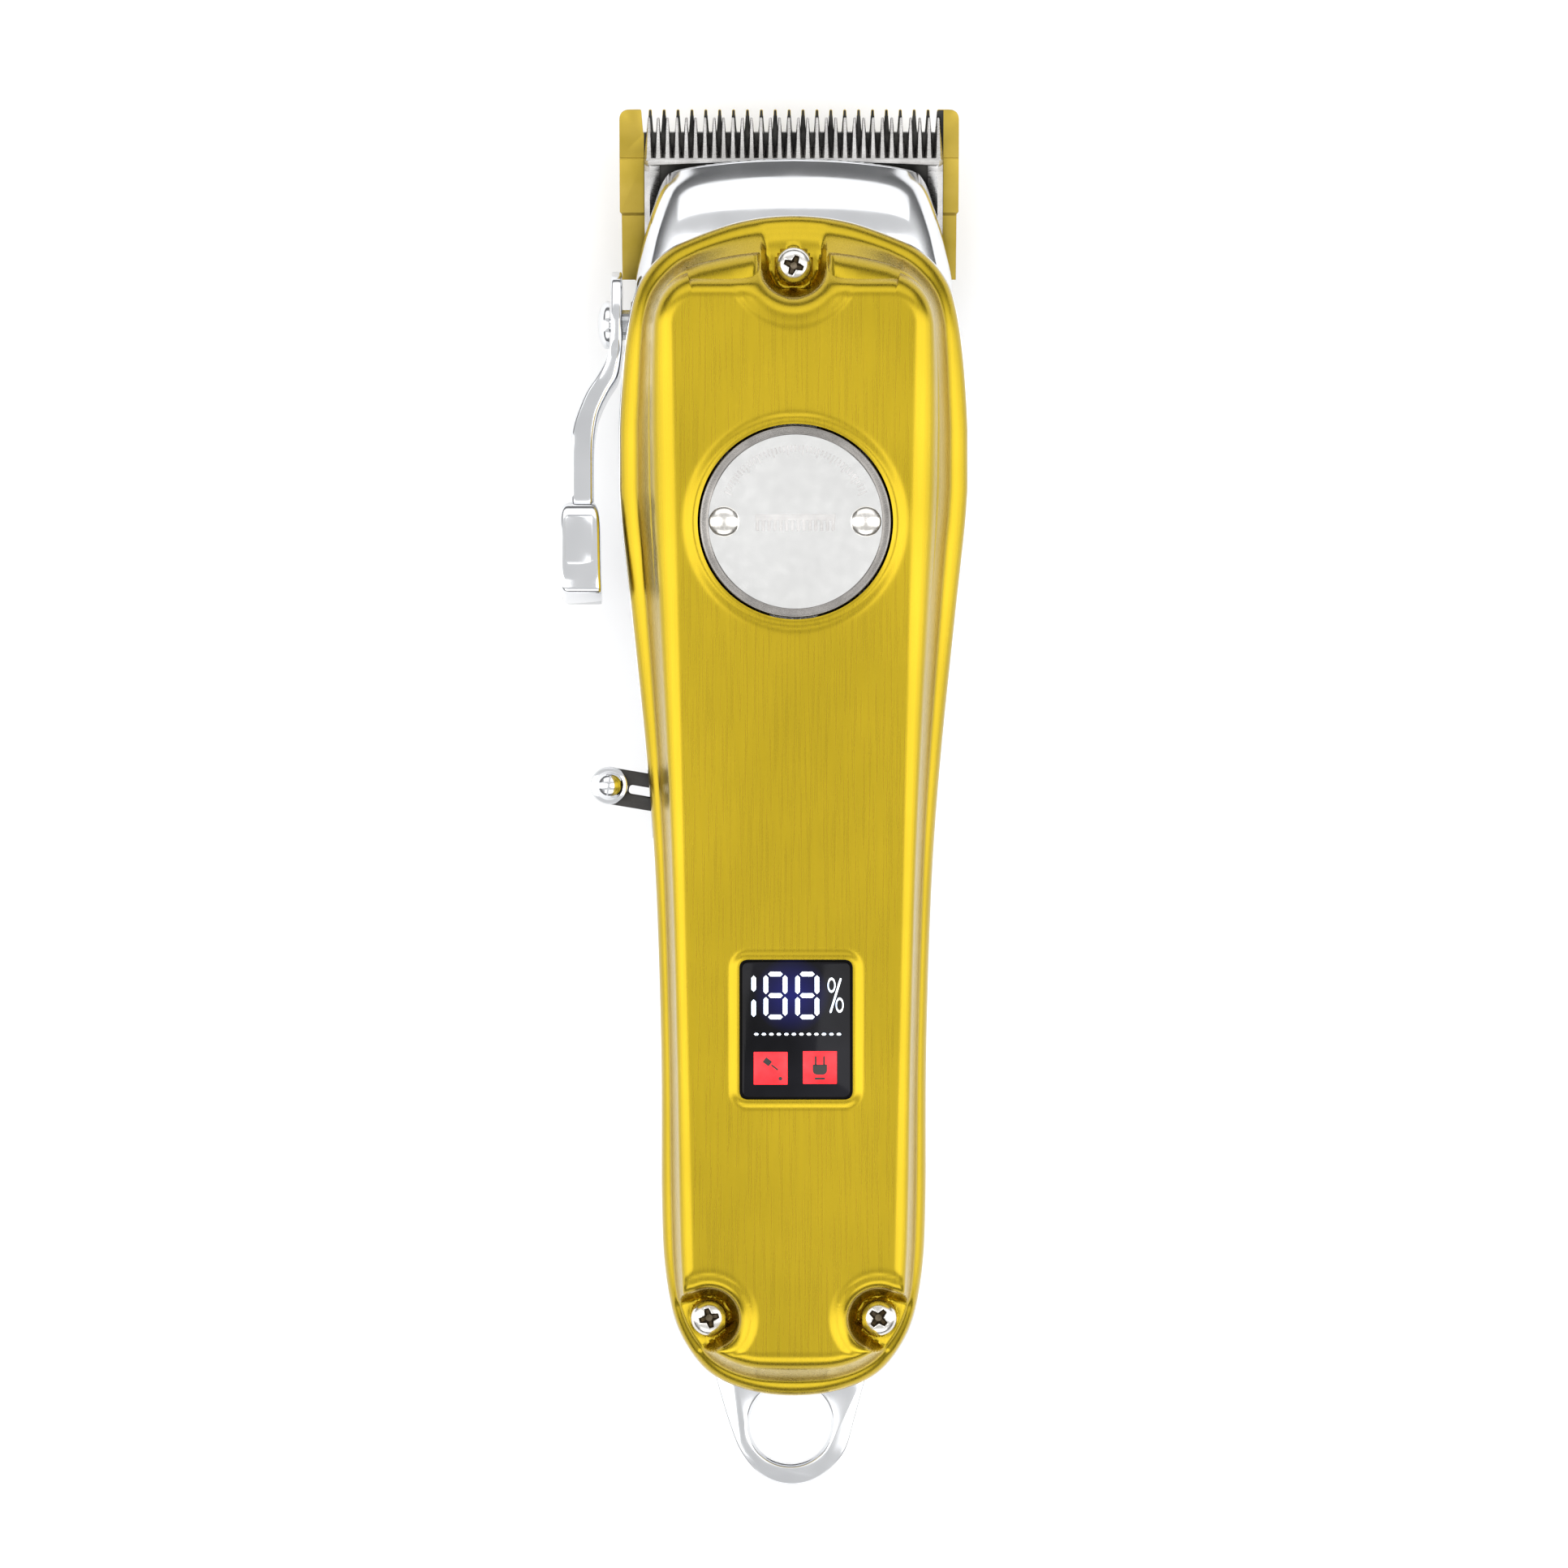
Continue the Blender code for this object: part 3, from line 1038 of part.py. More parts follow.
def main_board():
    top = BOARD_Z + BOARD_THICKNESS
    half = BOARD_EDGE - switch_x()
    board = box("main_board", (-half, BOARD_REAR_Y, BOARD_Z), (half, BOARD_FRONT_Y, top), "board_green")
    for i, (x, back, width, length, rise) in enumerate(CHIPS):
        y = BOARD_FRONT_Y + back
        low = (x - width / 2, y - length / 2, top - CHIP_ROOT)
        high = (x + width / 2, y + length / 2, top + rise)
        add(board, box(f"chip_{i}", low, high))
    cut(board, rod("switch_pin_hole", SWITCH_PIN + GAP, 0, 2 * SEAM_Z, None,
                   Matrix.Translation((switch_x(), SWITCH_Y, 0)), 12))
    return board


def charging_socket():
    """A round low-voltage jack: a barrel with a centre pin, its mouth in the tail."""
    place = Matrix.Translation((0, SOCKET_FACE_Y, SOCKET_Z)) @ ALONG_Y
    pin = 0.8 * MM
    depth = 9.0 * MM
    profile = ((SOCKET_BORE, 0.0), (SOCKET_RADIUS, 0.0), (SOCKET_RADIUS, SOCKET_LENGTH),
               (pin, SOCKET_LENGTH), (0.5 * pin, SOCKET_LENGTH - 0.1 * MM), (0.5 * pin, 1.0 * MM),
               (pin, 1.4 * MM), (pin, depth), (SOCKET_BORE, depth))
    return turned("charging_socket", profile, "plastic_black", place, 18, closed=True)


def power_switch():
    pivot = Matrix.Translation((switch_x(), SWITCH_Y, 0))
    turn = Matrix.Rotation(math.pi - SWITCH_REST, 4, "Z")
    place = pivot @ turn
    low, high = SWITCH_LOW_Z, SWITCH_LOW_Z + SWITCH_THICKNESS
    outline = []
    for centre, start in ((SWITCH_ARM, -90), (0.0, 90)):
        for step in range(9):
            angle = math.radians(start + 180 * step / 8)
            outline.append((centre + SWITCH_HALF * math.cos(angle), SWITCH_HALF * math.sin(angle)))
    arm = prism("switch_arm", outline, low, high, "plastic_black", place)
    cut(arm, rod("switch_eye", SWITCH_PIN + RUNNING_GAP, 0, 2 * SEAM_Z, None, pivot, 16))
    knob_place = place @ Matrix.Translation((SWITCH_ARM, 0, 0))
    cut(arm, rod("knob_hole", 1.3 * MM, 0, 2 * SEAM_Z, None, knob_place, 16))
    cut(arm, box("arm_slot", (5.2 * MM, -0.55 * MM, 0), (SWITCH_ARM - 3.0 * MM, 0.55 * MM, 2 * SEAM_Z),
                 None, place))
    seat = high + GAP
    ball_z = seat + 0.8 * MM + KNOB_BALL * 0.75
    profile = [(1.0 * MM, low + 0.2 * MM), (1.0 * MM, seat), (KNOB_DISC, seat),
               (KNOB_DISC, seat + 0.6 * MM), (1.5 * MM, seat + 0.8 * MM)]
    for step in range(5):
        angle = math.radians(-40 + 120 * step / 4)
        profile.append((KNOB_BALL * math.cos(angle), ball_z + KNOB_BALL * math.sin(angle)))
    turned("switch_knob", profile, "chrome", knob_place, 16)
    turned("switch_pin", ((SWITCH_PIN, low - 2 * MM), (SWITCH_PIN, BOARD_Z + BOARD_THICKNESS + 0.6 * MM)),
           "steel", pivot, 12)
    box("switch_body", (switch_x() + 3.2 * MM, SWITCH_Y - 4 * MM, CELL_Z + CELL_RADIUS + GAP),
        (switch_x() + 11 * MM, SWITCH_Y + 4 * MM, BOARD_Z - GAP), "plastic_black")


def build():
    clear_scene()
    top_cover()
    base_housing()
    cover_screws()
    hanging_loop()
    badge()
    display()
    fixed_blade()
    moving_blade()
    blade_screws()
    blade_carriage()
    blade_spring()
    cutter_follower()
    taper_lever()
    lever_cam()
    lever_screw()
    lever_bushing()
    motor()
    rotor()
    motor_bracket()
    battery()
    main_board()
    charging_socket()
    power_switch()


build()
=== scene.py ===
"""Looks for the cordless hair clipper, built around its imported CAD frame."""
import math

import bmesh
import bpy
import numpy as np
from mathutils import Matrix, Vector


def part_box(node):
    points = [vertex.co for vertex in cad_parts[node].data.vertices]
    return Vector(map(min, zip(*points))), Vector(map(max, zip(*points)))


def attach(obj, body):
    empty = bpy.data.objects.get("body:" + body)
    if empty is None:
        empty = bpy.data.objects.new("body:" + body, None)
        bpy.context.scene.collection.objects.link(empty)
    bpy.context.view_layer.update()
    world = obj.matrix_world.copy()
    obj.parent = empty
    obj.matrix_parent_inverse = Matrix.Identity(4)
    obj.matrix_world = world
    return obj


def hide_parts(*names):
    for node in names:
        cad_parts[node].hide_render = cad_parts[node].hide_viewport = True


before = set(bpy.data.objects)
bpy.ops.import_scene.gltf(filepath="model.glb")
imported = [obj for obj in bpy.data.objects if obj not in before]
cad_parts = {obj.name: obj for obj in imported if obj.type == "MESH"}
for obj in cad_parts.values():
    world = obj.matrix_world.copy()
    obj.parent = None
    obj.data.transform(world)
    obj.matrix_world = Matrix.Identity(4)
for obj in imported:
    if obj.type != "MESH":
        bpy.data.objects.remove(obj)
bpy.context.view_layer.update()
MM = 0.001


def box(node):
    """A CAD node's corners in millimetres."""
    return [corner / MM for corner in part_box(node)]


def shift(x, y, z=0.0):
    return Matrix.Translation((x * MM, y * MM, z * MM))


# ---------------------------------------------------------------- materials


def ramp(nodes, low, high):
    node = nodes.new("ShaderNodeValToRGB")
    for element, place, colour in zip(node.color_ramp.elements, (0.35, 0.65), (low, high)):
        element.position = place
        element.color = (*colour, 1.0)
    return node


def noise(tree, stretch, scale, detail=4.0, vector=None):
    nodes, links = tree.nodes, tree.links
    if vector is None:
        vector = nodes.new("ShaderNodeTexCoord").outputs["Object"]
    mapping = nodes.new("ShaderNodeMapping")
    mapping.inputs["Scale"].default_value = stretch
    texture = nodes.new("ShaderNodeTexNoise")
    texture.inputs["Scale"].default_value = scale
    texture.inputs["Detail"].default_value = detail
    links.new(vector, mapping.inputs["Vector"])
    links.new(mapping.outputs["Vector"], texture.inputs["Vector"])
    return texture.outputs["Fac"]


def around(tree, centre):
    """Coordinates about a vertical axis: angle, radius and height."""
    nodes, links = tree.nodes, tree.links
    coords = nodes.new("ShaderNodeTexCoord").outputs["Object"]
    shift = nodes.new("ShaderNodeVectorMath")
    shift.operation = "SUBTRACT"
    shift.inputs[1].default_value = centre
    links.new(coords, shift.inputs[0])
    parts = nodes.new("ShaderNodeSeparateXYZ")
    links.new(shift.outputs["Vector"], parts.inputs["Vector"])
    angle = nodes.new("ShaderNodeMath")
    angle.operation = "ARCTAN2"
    links.new(parts.outputs["Y"], angle.inputs[0])
    links.new(parts.outputs["X"], angle.inputs[1])
    flat = nodes.new("ShaderNodeCombineXYZ")
    links.new(parts.outputs["X"], flat.inputs["X"])
    links.new(parts.outputs["Y"], flat.inputs["Y"])
    radius = nodes.new("ShaderNodeVectorMath")
    radius.operation = "LENGTH"
    links.new(flat.outputs["Vector"], radius.inputs[0])
    joined = nodes.new("ShaderNodeCombineXYZ")
    links.new(angle.outputs["Value"], joined.inputs["X"])
    links.new(radius.outputs["Value"], joined.inputs["Y"])
    links.new(parts.outputs["Z"], joined.inputs["Z"])
    return joined.outputs["Vector"]


def surface(name, low, high, metallic, rough, patch=40.0, grain=900.0, bump=0.1, depth=0.02,
            stretch=(1, 1, 1), coat=0.0, glow=0.0, centre=None):
    """Patchy colour between low and high, grain in the roughness and in the bump.

    patch and grain are noise scales, depth is the grain's height in millimetres, and a centre
    makes the grain run round a vertical axis there."""
    made = bpy.data.materials.new(name)
    made.use_nodes = True
    tree = made.node_tree
    nodes, links = tree.nodes, tree.links
    shader = nodes["Principled BSDF"]
    shader.inputs["Metallic"].default_value = metallic
    shader.inputs["Coat Weight"].default_value = coat
    shader.inputs["Coat Roughness"].default_value = 0.08
    vector = around(tree, centre) if centre is not None else None
    colours = ramp(nodes, low, high)
    links.new(noise(tree, (1, 1, 1), patch, 3.0), colours.inputs["Fac"])
    links.new(colours.outputs["Color"], shader.inputs["Base Color"])
    streaks = noise(tree, stretch, grain, 5.0, vector)
    roughness = nodes.new("ShaderNodeMapRange")
    roughness.inputs["From Min"].default_value = 0.3
    roughness.inputs["From Max"].default_value = 0.7
    roughness.inputs["To Min"].default_value = rough[0]
    roughness.inputs["To Max"].default_value = rough[1]
    links.new(streaks, roughness.inputs["Value"])
    links.new(roughness.outputs["Result"], shader.inputs["Roughness"])
    relief = nodes.new("ShaderNodeBump")
    relief.inputs["Strength"].default_value = bump
    relief.inputs["Distance"].default_value = depth * MM
    links.new(streaks, relief.inputs["Height"])
    links.new(relief.outputs["Normal"], shader.inputs["Normal"])
    if glow:
        shader.inputs["Emission Strength"].default_value = glow
        links.new(colours.outputs["Color"], shader.inputs["Emission Color"])
    return made


badge_centre = sum(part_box("badge_ring"), Vector()) / 2
GOLD = surface("satin_gold", (0.395, 0.280, 0.005), (0.450, 0.318, 0.008), 1.0, (0.25, 0.31), 45.0,
               480.0, 0.008, stretch=(6, 0.12, 6), coat=0.3)
GOLD.node_tree.nodes["Principled BSDF"].inputs["Coat Roughness"].default_value = 0.26
CHROME = surface("chrome_plate", (0.66, 0.67, 0.69), (0.76, 0.77, 0.79), 1.0, (0.09, 0.16), 60.0,
                 260.0, 0.04)
GOLD_BLADE = surface("gold_blade_coat", (0.35, 0.255, 0.035), (0.44, 0.32, 0.06), 1.0, (0.32, 0.45), 120.0,
                     5200.0, 0.35)
BLADE_STEEL = surface("ground_steel", (0.40, 0.39, 0.38), (0.56, 0.55, 0.54), 1.0, (0.22, 0.38), 300.0,
                      2600.0, 0.35, stretch=(0.25, 6, 1))
# Near-black steel: painted shade on the blade faces that lie in shadow under and behind the moving blade.
PAINTED_SHADE_STEEL = surface("steel_with_painted_shade", (0.020, 0.020, 0.019), (0.050, 0.049, 0.046), 1.0, (0.38, 0.52), 400.0,
                     2600.0, 0.2, stretch=(0.25, 6, 1))
SCREW_STEEL = surface("nickel_screw", (0.62, 0.60, 0.56), (0.76, 0.74, 0.71), 1.0, (0.16, 0.30), 500.0,
                      2500.0, 0.2)
# Dark brown steel: painted shade inside the screws' cross recesses.
RECESS_PAINTED_SHADE = surface("screw_recess_painted_shade", (0.10, 0.08, 0.05), (0.22, 0.18, 0.13), 1.0, (0.35, 0.55), 900.0,
                       2500.0, 0.2)
RING_STEEL = surface("turned_ring", (0.20, 0.19, 0.18), (0.30, 0.285, 0.27), 1.0, (0.22, 0.36), 200.0,
                     6.0, 0.3, 0.03, (26, 700, 700), centre=tuple(badge_centre))
PLATE = surface("polished_plate", (0.92, 0.92, 0.91), (0.97, 0.97, 0.96), 1.0, (0.10, 0.16), 90.0,
                700.0, 0.05)
PLATE_ENGRAVED = surface("engraved_plate", (0.50, 0.49, 0.48), (0.62, 0.61, 0.60), 1.0, (0.3, 0.45), 300.0,
                         3000.0, 0.25)
GLASS = surface("display_glass", (0.003, 0.003, 0.004), (0.010, 0.010, 0.013), 0.0, (0.04, 0.09), 90.0,
                500.0, 0.02)
GLASS.node_tree.nodes["Principled BSDF"].inputs["Specular IOR Level"].default_value = 0.12


def haze(material, centre, reach):
    """A blue light behind the glass that fades with distance from the digits."""
    tree = material.node_tree
    parts = tree.nodes.new("ShaderNodeSeparateXYZ")
    fade = tree.nodes.new("ShaderNodeMapRange")
    fade.inputs["From Min"].default_value = reach * MM
    fade.inputs["From Max"].default_value = 0.0
    fade.inputs["To Max"].default_value = 0.16
    tree.links.new(around(tree, centre), parts.inputs["Vector"])
    tree.links.new(parts.outputs["Y"], fade.inputs["Value"])
    shader = tree.nodes["Principled BSDF"]
    shader.inputs["Emission Color"].default_value = (0.06, 0.07, 1.0, 1.0)
    tree.links.new(fade.outputs["Result"], shader.inputs["Emission Strength"])


lens_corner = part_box("display_lens")[1]
haze(GLASS, (-0.3 * MM, lens_corner.y - 5.6 * MM, lens_corner.z), 5.0)
GLOW_WHITE = surface("segment_light", (0.62, 0.76, 1.0), (0.95, 0.98, 1.0), 0.0, (0.3, 0.4), 900.0,
                     glow=1.15, bump=0.02)
GLOW_RED = surface("indicator_light", (0.95, 0.004, 0.010), (1.0, 0.012, 0.02), 0.0, (0.3, 0.4), 600.0,
                   glow=0.95, bump=0.02)
BLACK = surface("black_plastic", (0.010, 0.009, 0.008), (0.022, 0.020, 0.018), 0.0, (0.38, 0.55), 300.0,
                4000.0, 0.25)
WHITE = surface("acetal_white", (0.66, 0.64, 0.60), (0.76, 0.74, 0.70), 0.0, (0.35, 0.5), 200.0,
                2500.0, 0.2)
NYLON = surface("nylon_natural", (0.50, 0.46, 0.38), (0.60, 0.56, 0.48), 0.0, (0.4, 0.55), 200.0,
                2500.0, 0.2)
ZINC = surface("zinc_steel", (0.42, 0.43, 0.45), (0.58, 0.59, 0.60), 1.0, (0.22, 0.42), 350.0,
               1800.0, 0.3)
COPPER = surface("bronze_metal", (0.50, 0.27, 0.13), (0.64, 0.36, 0.18), 1.0, (0.28, 0.45), 350.0,
                 1800.0, 0.3)
FERRITE = surface("ferrite_core", (0.030, 0.030, 0.032), (0.065, 0.065, 0.07), 0.3, (0.5, 0.7), 350.0,
                  1800.0, 0.4)
BOARD = surface("circuit_board", (0.010, 0.08, 0.03), (0.02, 0.13, 0.05), 0.0, (0.3, 0.45), 250.0,
                1500.0, 0.3, 0.03, coat=0.3)
WRAP = surface("cell_wrap", (0.02, 0.08, 0.26), (0.03, 0.11, 0.34), 0.0, (0.25, 0.38), 120.0,
               600.0, 0.2, 0.04)
FLOOR = surface("pale_floor", (0.90, 0.90, 0.90), (0.93, 0.93, 0.93), 0.0, (0.7, 0.8), 6.0,
                60.0, 0.02, 0.05)

CAD_FINISH = {
    "display_board": BOARD, "main_board": BOARD, "lever_bushing": NYLON, "blade_carriage": NYLON,
    "motor_can": ZINC, "motor_bracket": ZINC, "left_motor_screw": SCREW_STEEL,
    "right_motor_screw": SCREW_STEEL, "motor_end_cap": BLACK, "front_bearing": COPPER,
    "rear_bearing": COPPER, "left_brush": COPPER, "right_brush": COPPER, "commutator": COPPER,
    "left_magnet": FERRITE, "right_magnet": FERRITE, "rotor_core": FERRITE, "rotor_shaft": ZINC,
    "drive_eccentric": ZINC, "battery_cell": WRAP, "battery_cradle": BLACK, "switch_pin": ZINC,
    "switch_body": BLACK, "lever_cam": ZINC, "blade_spring": ZINC, "cutter_follower": WHITE,
    "left_blade_screw": SCREW_STEEL, "right_blade_screw": SCREW_STEEL,
}
for node_name, node_finish in CAD_FINISH.items():
    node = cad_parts[node_name]
    node.data.materials.clear()
    node.data.materials.append(node_finish)

# ---------------------------------------------------------------- mesh helpers


def from_data(name, verts, faces, finish, place=None):
    """A welded mesh object; like every helper below, it takes millimetres."""
    mesh = bpy.data.meshes.new(name)
    mesh.from_pydata([tuple(v) for v in np.asarray(verts) * MM], [], [tuple(f) for f in faces])
    if place is not None:
        mesh.transform(place)
    bm = bmesh.new()
    bm.from_mesh(mesh)
    bmesh.ops.remove_doubles(bm, verts=bm.verts, dist=1e-6)
    bmesh.ops.recalc_face_normals(bm, faces=bm.faces)
    bm.to_mesh(mesh)
    bm.free()
    mesh.materials.append(finish)
    obj = bpy.data.objects.new(name, mesh)
    bpy.context.scene.collection.objects.link(obj)
    return obj


def loft(name, rings, finish, place=None, closed=False):
    """A skin over rings of equally many points, capped at both ends unless closed on itself."""
    rings = [np.asarray(ring, float) for ring in rings]
    count = len(rings[0])
    verts = np.concatenate(rings)
    faces = []
    pairs = [(k, k + 1) for k in range(len(rings) - 1)]
    if closed:
        pairs.append((len(rings) - 1, 0))
    for a, b in pairs:
        for i in range(count):
            j = (i + 1) % count
            faces.append((a * count + i, a * count + j, b * count + j, b * count + i))
    if not closed:
        faces.append(tuple(range(count)))
        faces.append(tuple(range((len(rings) - 1) * count, len(rings) * count)))
    return from_data(name, verts, faces, finish, place)


def turned(name, profile, finish, place=None, segments=96, closed=False):
    turns = np.arange(segments) * 2 * math.pi / segments
    rings = [np.stack([r * np.cos(turns), r * np.sin(turns), np.full(segments, z)], 1) for r, z in profile]
    return loft(name, rings, finish, place, closed)


def prism(name, outline, low, high, finish, place=None):
    outline = np.asarray(outline, float)
    rings = [np.column_stack([outline, np.full(len(outline), z)]) for z in (low, high)]
    return loft(name, rings, finish, place)


def rounded(points, radius, steps=6):
    """A closed outline with its corners rounded; radius is one number or one for each corner."""
    points = [Vector(p) for p in points]
    radii = [radius] * len(points) if isinstance(radius, float) else list(radius)
    found = []
    for before, point, after, r in zip(points[-1:] + points[:-1], points, points[1:] + points[:1], radii):
        a, b = (before - point).normalized(), (after - point).normalized()
        half = math.acos(max(-1.0, min(1.0, a.dot(b)))) / 2
        if r <= 0 or half > 1.55:
            found.append(tuple(point))
            continue
        reach = min(r / math.tan(half), 0.49 * (before - point).length, 0.49 * (after - point).length)
        start, end = point + a * reach, point + b * reach
        for step in range(steps + 1):
            t = step / steps
            found.append(tuple(start * (1 - t) ** 2 + point * 2 * t * (1 - t) + end * t ** 2))
    return found


def rectangle(half_x, half_y, radius, steps=8, middle=(0.0, 0.0)):
    cx, cy = middle
    corners = ((cx - half_x, cy - half_y), (cx + half_x, cy - half_y), (cx + half_x, cy + half_y),
               (cx - half_x, cy + half_y))
    return rounded(corners, float(radius), steps)


def modify(obj, kind, **settings):
    """Adds a modifier and applies it."""
    modifier = obj.modifiers.new(kind.lower(), kind)
    for key, value in settings.items():
        setattr(modifier, key, value)
    bpy.context.view_layer.update()
    evaluated = obj.evaluated_get(bpy.context.evaluated_depsgraph_get())
    mesh = bpy.data.meshes.new_from_object(evaluated)
    obj.modifiers.clear()
    old = obj.data
    obj.data = mesh
    mesh.name = old.name
    bpy.data.meshes.remove(old)
    return obj


def bevel(obj, width, segments=3, angle=30.0):
    return modify(obj, "BEVEL", width=width * MM, segments=segments, limit_method="ANGLE",
                  angle_limit=math.radians(angle), harden_normals=False)


def combine(obj, operation, others):
    """One exact Boolean with all the others, which are then removed."""
    group = bpy.data.collections.new(f"{obj.name}_{operation}")
    for other in others:
        group.objects.link(other)
    modify(obj, "BOOLEAN", operation=operation, solver="EXACT", operand_type="COLLECTION",
           collection=group)
    for other in others:
        bpy.data.objects.remove(other)
    bpy.data.collections.remove(group)
    return obj


def shaded(obj, angle=32.0):
    obj.data.shade_smooth()
    obj.data.set_sharp_from_angle(angle=math.radians(angle))
    return obj


def piece(obj, body, slot, *nodes, angle=32.0):
    """Shades a finished piece, has it ride on its body and stand for its CAD nodes."""
    shaded(obj, angle)
    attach(obj, body)
    if nodes:
        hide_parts(*nodes)
    return obj


def paint(obj, finishes, pick, place=None):
    """Gives each face the finish that pick says for its middle, in millimetres in the place's frame."""
    obj.data.materials.clear()
    for finish in finishes:
        obj.data.materials.append(finish)
    back = place.inverted() if place else Matrix()
    for face in obj.data.polygons:
        face.material_index = int(pick(back @ face.center / MM))
    return obj


def smooth_step(x, low, high):
    t = np.clip((x - low) / (high - low), 0.0, 1.0)
    return t * t * (3 - 2 * t)


def smooth_min(a, b, k):
    h = np.clip(0.5 + 0.5 * (b - a) / k, 0.0, 1.0)
    return b + (a - b) * h - k * h * (1 - h)


def catmull(points, steps):
    """A smooth curve through rows of numbers, the ends held."""
    points = np.asarray(points, float)
    padded = np.vstack([2 * points[0] - points[1], points, 2 * points[-1] - points[-2]])
    found = []
    for i in range(1, len(padded) - 2):
        p0, p1, p2, p3 = padded[i - 1:i + 3]
        for step in range(steps):
            t = step / steps
            found.append(0.5 * (2 * p1 + (p2 - p0) * t + (2 * p0 - 5 * p1 + 4 * p2 - p3) * t ** 2
                                + (3 * p1 - p0 - 3 * p2 + p3) * t ** 3))
    found.append(padded[-2])
    return np.array(found)

# ---------------------------------------------------------------- body outline, in millimetres

cover_low, cover_high = box("top_cover")
FRONT_Y, REAR_Y = cover_high.y, cover_low.y
HALF = max(cover_high.x, -cover_low.x)
COVER_Z = cover_low.z
SEAM_Z = COVER_Z - 0.3
TILT = math.radians(1.4)
RIM_SHAPE = (
    (0.0, 1.0), (0.304, 0.995), (0.6, 0.980), (0.743, 0.968), (0.854, 0.950), (0.920, 0.927),
    (0.969, 0.883), (0.998, 0.818), (0.993, 0.756), (0.928, 0.663), (0.843, 0.540), (0.791, 0.432),
    (0.761, 0.292), (0.757, 0.168), (0.737, 0.107), (0.674, 0.062), (0.557, 0.031), (0.417, 0.0135),
    (0.217, 0.0032), (0.0, 0.0),
)


def top_z(y):
    return 35.7 + y * math.tan(TILT)


def top_place(x, y):
    """On the flat top, its Z square to it; x and y in millimetres."""
    return shift(x, y, top_z(y)) @ Matrix.Rotation(TILT, 4, "X")


def outline(count, shrink=0.0):
    """Evenly spaced points round the body: down the right side, back up the left."""
    half, middle = HALF / 0.998, (FRONT_Y + REAR_Y) / 2
    control = [(w * half, REAR_Y + f * (FRONT_Y - REAR_Y)) for w, f in RIM_SHAPE]
    mirror_front, mirror_rear = (-control[1][0], control[1][1]), (-control[-2][0], control[-2][1])
    curve = catmull([mirror_front] + control + [mirror_rear], 24)[24:-24]
    curve[:, 0] = np.clip(curve[:, 0], 0.0, HALF)
    along = np.concatenate([[0], np.cumsum(np.linalg.norm(np.diff(curve, axis=0), axis=1))])
    even = np.linspace(0, along[-1], count // 2 + 1)
    right = np.stack([np.interp(even, along, curve[:, k]) for k in (0, 1)], 1)
    right[0, 0] = right[-1, 0] = 0.0
    points = np.vstack([right, (right[1:-1] * (-1, 1))[::-1]])
    points[:, 0] *= 1 - shrink / HALF
    points[:, 1] = middle + (points[:, 1] - middle) * (1 - 2 * shrink / (FRONT_Y - REAR_Y))
    return points


RIM_DENSE = outline(1600)


def rim_half(y):
    side = RIM_DENSE[:801]
    return np.interp(-np.asarray(y, float), -side[:, 1], side[:, 0])


def nearest_flat(points, rear, front, rear_half, front_half, rear_corner, front_corner):
    """Each point's nearest place on a tapered rectangle with round corners."""
    y = points[:, 1]
    corner = np.where(y < (rear + front) / 2, rear_corner, front_corner)
    core_y = np.clip(y, rear + corner, front - corner)
    half = rear_half + (front_half - rear_half) * (core_y - rear) / (front - rear) - corner
    core = np.stack([np.clip(points[:, 0], -half, half), core_y], 1)
    away = points - core
    away /= np.maximum(np.linalg.norm(away, axis=1), 1e-9)[:, None]
    return core + away * corner[:, None]


# ---------------------------------------------------------------- gold cover

BADGE = (badge_centre.x / MM, badge_centre.y / MM)
lens_low, lens_high = box("display_lens")
DISPLAY = ((lens_low.x + lens_high.x) / 2, (lens_low.y + lens_high.y) / 2)
SCREWS = {}
for screw_name in ("front_cover_screw", "left_rear_cover_screw", "right_rear_cover_screw"):
    screw_low, screw_high = box(screw_name)
    SCREWS[screw_name] = ((screw_low.x + screw_high.x) / 2, (screw_low.y + screw_high.y) / 2,
                          screw_high.z - 2.0)


def cover_profile(reach, height, samples):
    """Distance in from the rim and height above its foot: a rolled rim, a wall and a round shoulder."""
    roll = np.minimum(0.33 * reach, 2.3)
    roll_top = 3.2
    radius = np.where(reach > 8, 2.4, 0.42 * reach)
    rise = height - roll_top
    low, high = np.full(len(reach), math.radians(20)), np.full(len(reach), math.radians(88))
    for _ in range(30):
        middle = (low + high) / 2
        run = roll + rise / np.tan(middle) + radius * np.tan(middle / 2)
        low = np.where(run > reach, middle, low)
        high = np.where(run > reach, high, middle)
    wall = (low + high) / 2
    inner = roll + rise / np.tan(wall)
    setback = radius * np.tan(wall / 2)
    a = (inner - setback * np.cos(wall), height - setback * np.sin(wall))
    parts = []
    for t in np.linspace(0, 1, 4):
        parts.append((np.zeros(len(reach)), np.full(len(reach), 0.9 * t)))
    for t in np.linspace(0, 1, samples)[1:]:
        angle = t * math.radians(78)
        parts.append((roll * (1 - math.cos(angle)) / (1 - math.cos(math.radians(78))),
                      0.9 + (roll_top - 0.9) * np.full(len(reach), math.sin(angle))))
    for t in np.linspace(0, 1, samples)[1:]:
        parts.append((roll + (a[0] - roll) * t, roll_top - 0.05 + (a[1] - roll_top + 0.05) * t))
    for t in np.linspace(0, 1, samples)[1:]:
        angle = wall * (1 - t)
        parts.append((reach - radius * np.sin(angle), height - radius * (1 - np.cos(angle))))
    found = np.array([np.stack(part, 1) for part in parts])
    for _ in range(3):
        found[3:-1] = 0.25 * found[2:-2] + 0.5 * found[3:-1] + 0.25 * found[4:]
    return found


